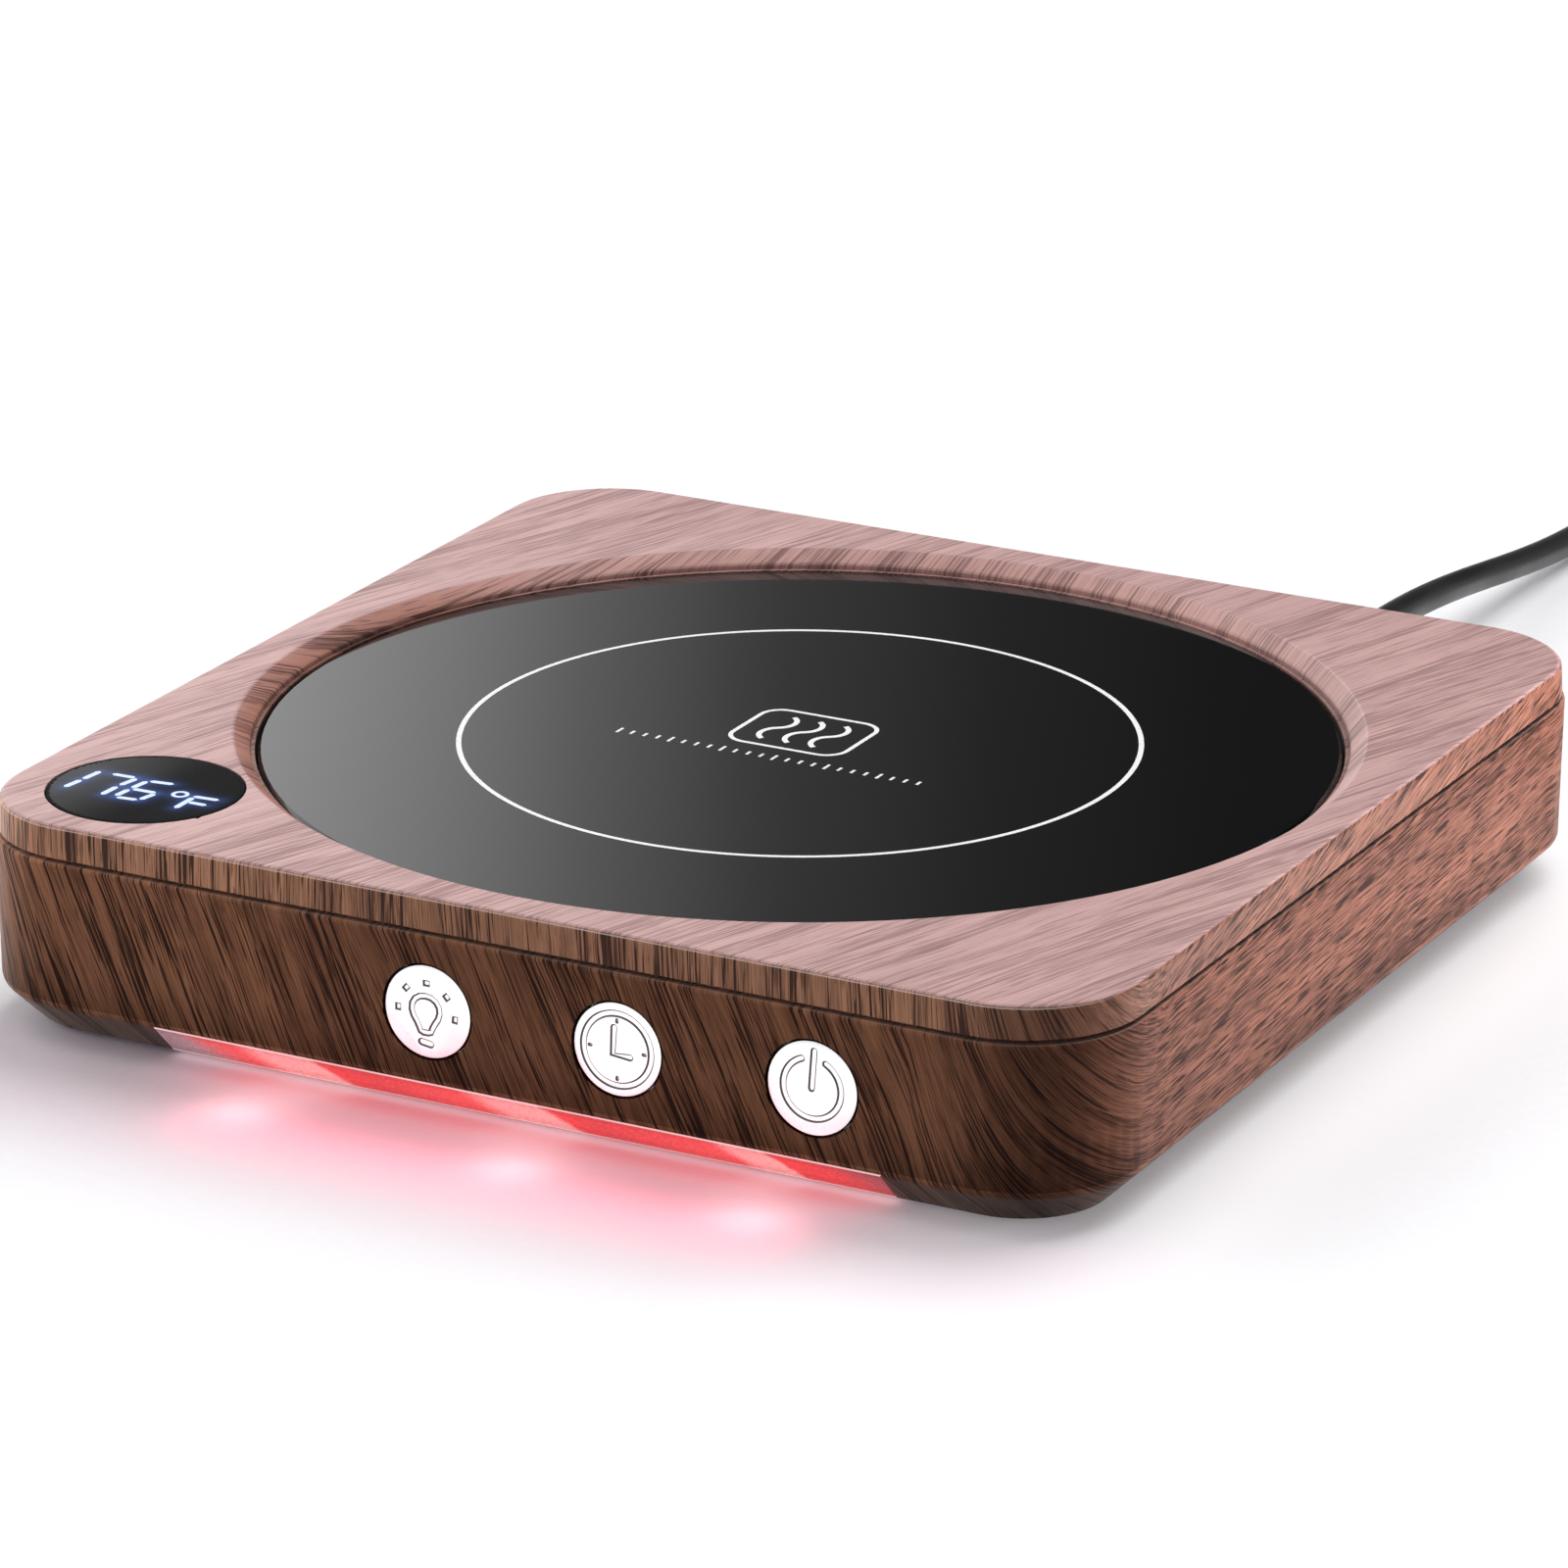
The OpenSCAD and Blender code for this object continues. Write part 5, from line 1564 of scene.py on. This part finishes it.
@dataclass
class PlatePrint:
    """The white print on the glass: the ring, and a plain steam mark with a row of ticks."""

    top: float = 22.4
    ring_r: float = 36.19
    ring_width: float = 0.56
    thick: float = 0.02
    clear: float = 0.01
    mark_centre: Flat = (-0.6, 2.0)
    mark_size: Flat = (13.6, 11.2)
    corner: float = 2.4
    frame_width: float = 0.5
    wave_pitch: float = 3.1
    wave_r: float = 2.2
    wave_half: float = math.radians(58)
    wave_width: float = 0.6
    tick_count: int = 24
    tick_place: Flat = (-18.2, -6.6)
    tick_pitch: float = 1.55
    tick_width: float = 0.32

    def build(self) -> None:
        """Makes the print as one thin piece."""
        sheet = Sheet(self.top + self.thick + self.clear, self.thick)
        sheet.ring((0, 0), self.ring_r, self.ring_width, steps=192)
        self.frame_line(sheet)
        for offset in (-self.wave_pitch, 0.0, self.wave_pitch):
            self.wave(sheet, offset)
        y = self.tick_place[1]
        for index in range(self.tick_count):
            x = self.tick_place[0] + index * self.tick_pitch
            tall = 1.5 if index % 4 == 0 else 1.0
            sheet.bar((x, y - tall / 2), (x, y + tall / 2), self.tick_width)
        shown("plate_print", sheet.mesh, INK)

    def frame_line(self, sheet: Sheet) -> None:
        """Adds the rounded frame of the mark.

        Args:
            sheet: The print.
        """
        (cx, cy), (wide, tall), r = self.mark_centre, self.mark_size, self.corner
        x0, x1, y0, y1 = cx - wide / 2, cx + wide / 2, cy - tall / 2, cy + tall / 2
        for start, end in (((x0 + r, y0), (x1 - r, y0)), ((x1, y0 + r), (x1, y1 - r)),
                           ((x1 - r, y1), (x0 + r, y1)), ((x0, y1 - r), (x0, y0 + r))):
            sheet.bar(start, end, self.frame_width)
        for centre, start in (((x1 - r, y0 + r), -0.5), ((x1 - r, y1 - r), 0.0),
                              ((x0 + r, y1 - r), 0.5), ((x0 + r, y0 + r), 1.0)):
            sheet.ring(centre, r, self.frame_width, math.pi / 2, start * math.pi, 10)

    def wave(self, sheet: Sheet, offset: float) -> None:
        """Adds one rising steam line, two arcs that meet in the middle.

        Args:
            sheet: The print.
            offset: How far right of the mark's middle it is.
        """
        x, y = self.mark_centre[0] + offset, self.mark_centre[1]
        r, half = self.wave_r, self.wave_half
        reach, rise = on_circle((0.0, 0.0), r, half)
        sheet.ring((x - reach, y + rise), r, self.wave_width, 2 * half, -half, 14)
        sheet.ring((x + reach, y - rise), r, self.wave_width, 2 * half, math.pi - half, 14)


def on_circle(centre: Flat, radius: float, angle: float) -> Flat:
    """Returns the point of a circle at an angle, in radians from +X."""
    return (centre[0] + radius * math.cos(angle), centre[1] + radius * math.sin(angle))


def circle(radius: float, start: float = 0.0, sweep: float = 360.0, steps: int = 72) -> list[Flat]:
    """Lays points on a circle or an arc about the origin.

    Args:
        radius: Its radius.
        start: Where it starts, in degrees from +X towards +Y.
        sweep: How far round it goes, in degrees.
        steps: Segments.

    Returns:
        The points.
    """
    angles = range(steps if sweep == 360.0 else steps + 1)
    return [on_circle((0.0, 0.0), radius, math.radians(start + sweep * index / steps))
            for index in angles]


@dataclass
class PushButton:
    """One silver push button with its sign sunk in the face, in millimetres."""

    key: str
    x: float
    z: float = 12.2
    face_y: float = -64.85
    radius: float = 5.0
    edge: float = 0.35
    sign_margin: float = 0.45
    back: Sequence[Flat] = ((6.0, 2.3), (6.0, 3.3), (2.0, 3.3), (2.0, 4.0), (0, 4.0))
    line: float = 0.8
    stands: Flat = (0.5, 0.49)
    depth: float = 0.15
    slope: float = 0.19

    def build(self) -> None:
        """Makes the button and sinks its sign."""
        made = shown(f"{self.key}_button_shown", self.sunk(self.blank(), self.cutter()), SILVER,
                     f"{self.key}_key", 30.0)
        # The walls of the sunk sign take the second material, dark grey as painted shade in the
        # grooves.
        made.data.materials.append(SIGN_PAINTED_SHADE.material())
        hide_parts(f"{self.key}_button")
        limit = self.radius - self.sign_margin
        for face in made.data.polygons:
            middle = face.center / MM - self.place()
            inside = math.hypot(middle.x, middle.z) < limit and middle.y < self.depth + 0.01
            if inside and abs(face.normal.y) < 0.9:
                face.material_index = 1

    def place(self) -> Vector:
        """Returns the middle of the face."""
        return Vector((self.x, self.face_y, self.z))

    def blank(self) -> Shape:
        """Makes the plain button.

        Returns:
            Its shape, with the face towards -Y at the origin.
        """
        mesh = bmesh.new()
        r, edge = self.radius, self.edge
        outline = [(r - edge, 0), (r - edge * 0.3, edge * 0.3), (r, edge), (r, self.back[0][1])]
        verts = [mesh.verts.new((x * MM, y * MM, 0)) for x, y in (*outline, *self.back)]
        edges = [mesh.edges.new(pair) for pair in zip(verts, verts[1:])]
        bmesh.ops.spin(mesh, geom=verts + edges, cent=(0, 0, 0), axis=(0, 1, 0), angle=2 * math.pi,
                       steps=72, use_merge=True, use_duplicate=False)
        bmesh.ops.remove_doubles(mesh, verts=mesh.verts, dist=1e-6)
        bmesh.ops.holes_fill(mesh, edges=[edge for edge in mesh.edges if edge.is_boundary])
        bmesh.ops.recalc_face_normals(mesh, faces=mesh.faces)
        return mesh

    def cutter(self) -> Shape:
        """Makes the sign as a solid that stands in the face.

        Returns:
            Its shape.
        """
        sheet = Sheet(*self.stands)
        self.draw(sheet)
        mesh = sheet.mesh
        bmesh.ops.recalc_face_normals(mesh, faces=mesh.faces)
        floors = [face for face in mesh.faces if face.normal.z < -0.9]
        bmesh.ops.inset_region(mesh, faces=floors, thickness=self.slope * MM,
                               depth=self.depth * MM, use_boundary=True, use_even_offset=True)
        bmesh.ops.rotate(mesh, cent=(0, 0, 0), matrix=Matrix.Rotation(math.pi / 2, 3, "X"),
                         verts=mesh.verts)
        bmesh.ops.recalc_face_normals(mesh, faces=mesh.faces)
        return mesh

    def sunk(self, blank: Shape, cutter: Shape) -> Shape:
        """Cuts the sign out of the blank.

        Args:
            blank: The plain button; it is freed here.
            cutter: The sign; it is freed here.

        Returns:
            The cut button, in its place.
        """
        plain = placed("blank", meshed("blank", blank))
        sign = placed("cutter", meshed("cutter", cutter))
        cut = plain.modifiers.new("sign", "BOOLEAN")
        cut.object, cut.operation, cut.solver, cut.use_self = sign, "DIFFERENCE", "EXACT", True
        bpy.context.view_layer.update()
        mesh = bmesh.new()
        mesh.from_mesh(plain.evaluated_get(bpy.context.evaluated_depsgraph_get()).to_mesh())
        for item in (plain, sign):
            bpy.data.objects.remove(item)
        bmesh.ops.translate(mesh, vec=self.place() * MM, verts=mesh.verts)
        return mesh

    def draw(self, sheet: Sheet) -> None:
        """Draws the sign, x to the right and y up.

        Args:
            sheet: Where it is drawn.
        """
        raise NotImplementedError


@dataclass
class LightButton(PushButton):
    """The button with a light bulb."""

    bulb: Sequence[Flat] = (
        (-0.2, 1.65), (0.45, 1.55), (1.0, 1.2), (1.35, 0.65), (1.42, 0.0), (1.22, -0.65),
        (0.82, -1.25), (0.5, -1.85), (0.4, -2.15), (0.05, -2.27), (-0.5, -2.27), (-0.82, -2.15),
        (-0.92, -1.85), (-1.2, -1.25), (-1.6, -0.65), (-1.8, 0.0), (-1.74, 0.65), (-1.4, 1.2),
        (-0.85, 1.55))
    base: Sequence[Flat] = ((-0.7, -3.3), (0.35, -3.45))
    rays: Sequence[Flat] = ((-3.36, 0.0), (-2.4, 2.2), (-0.05, 3.05), (2.25, 1.95), (3.2, -0.3))
    bulb_line: float = 0.76
    base_line: float = 0.86
    ray_line: float = 0.84
    ray_half: float = 0.36

    def draw(self, sheet: Sheet) -> None:
        """Draws a bulb, its base and five square rays; see PushButton.draw."""
        sheet.strip(self.bulb, self.bulb_line, True)
        sheet.strip(self.base, self.base_line)
        for x, y in self.rays:
            way = Vector((x, y)).normalized() * self.ray_half
            sheet.bar((x - way.x, y - way.y), (x + way.x, y + way.y), self.ray_line)


@dataclass
class TimerButton(PushButton):
    """The button with a clock face."""

    ring_r: float = 3.82
    notch_r: Flat = (3.15, 2.95)
    notch_line: float = 0.42
    hands: Sequence[Flat] = ((-0.35, 2.3), (-0.5, -0.56), (1.45, -0.6))

    def draw(self, sheet: Sheet) -> None:
        """Draws a clock: a ring with four notches, and two hands; see PushButton.draw."""
        sheet.strip(circle(self.ring_r), self.line, True)
        for x, y in ((1, 0), (0, 1), (-1, 0), (0, -1)):
            sheet.strip([(x * r, y * r) for r in self.notch_r], self.notch_line)
        sheet.strip(self.hands, self.line)


@dataclass
class PowerButton(PushButton):
    """The button with the power sign."""

    ring_r: float = 3.18
    ring_start: float = 111.0
    ring_sweep: float = 311.0
    bar: Sequence[Flat] = ((0.24, 3.95), (-0.04, 0.0))

    def draw(self, sheet: Sheet) -> None:
        """Draws an open ring and the bar in its gap; see PushButton.draw."""
        sheet.strip(circle(self.ring_r, self.ring_start, self.ring_sweep), self.line)
        sheet.strip(self.bar, self.line)


@dataclass
class BarLight:
    """The red light that the bar throws on the table."""

    places: Sequence[float] = (-26.7, 5.0, 32.0)
    spot_yz: Flat = (-70.6, 5.0)
    spot_size: Flat = (5.0, 3.0)
    spot_power: float = 0.0002
    spot: Point = (1.0, 0.6, 0.62)
    band_place: Point = (3.5, -74.4, 5.5)
    band_size: Flat = (68.0, 8.0)
    band_power: float = 0.0021
    band: Point = (1.0, 0.06, 0.15)

    def build(self) -> None:
        """Hangs one small lamp before each diode, and a faint one along the whole bar."""
        for index, x in enumerate(self.places):
            area_lamp(f"bar_spot_{index}", (x, *self.spot_yz), self.spot_size, self.spot_power,
                      self.spot)
        area_lamp("bar_band", self.band_place, self.band_size, self.band_power, self.band)
        log.info("bar light: %d lamps", len(self.places) + 1)


def main() -> None:
    """Builds the scene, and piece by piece."""
    logging.basicConfig(level=logging.INFO, format="%(name)s: %(message)s")
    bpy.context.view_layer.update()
    View().build()
    Cord().build()
    Studio().build()
    Casing().build()
    FilmReturn().build()
    Display().build()
    PlatePrint().build()
    for button, key, x in ((LightButton, "light", -8.0), (TimerButton, "timer", 13.7),
                           (PowerButton, "power", 35.4)):
        button(key, x).build()
    BarLight().build()


if __name__ == "__main__":
    main()
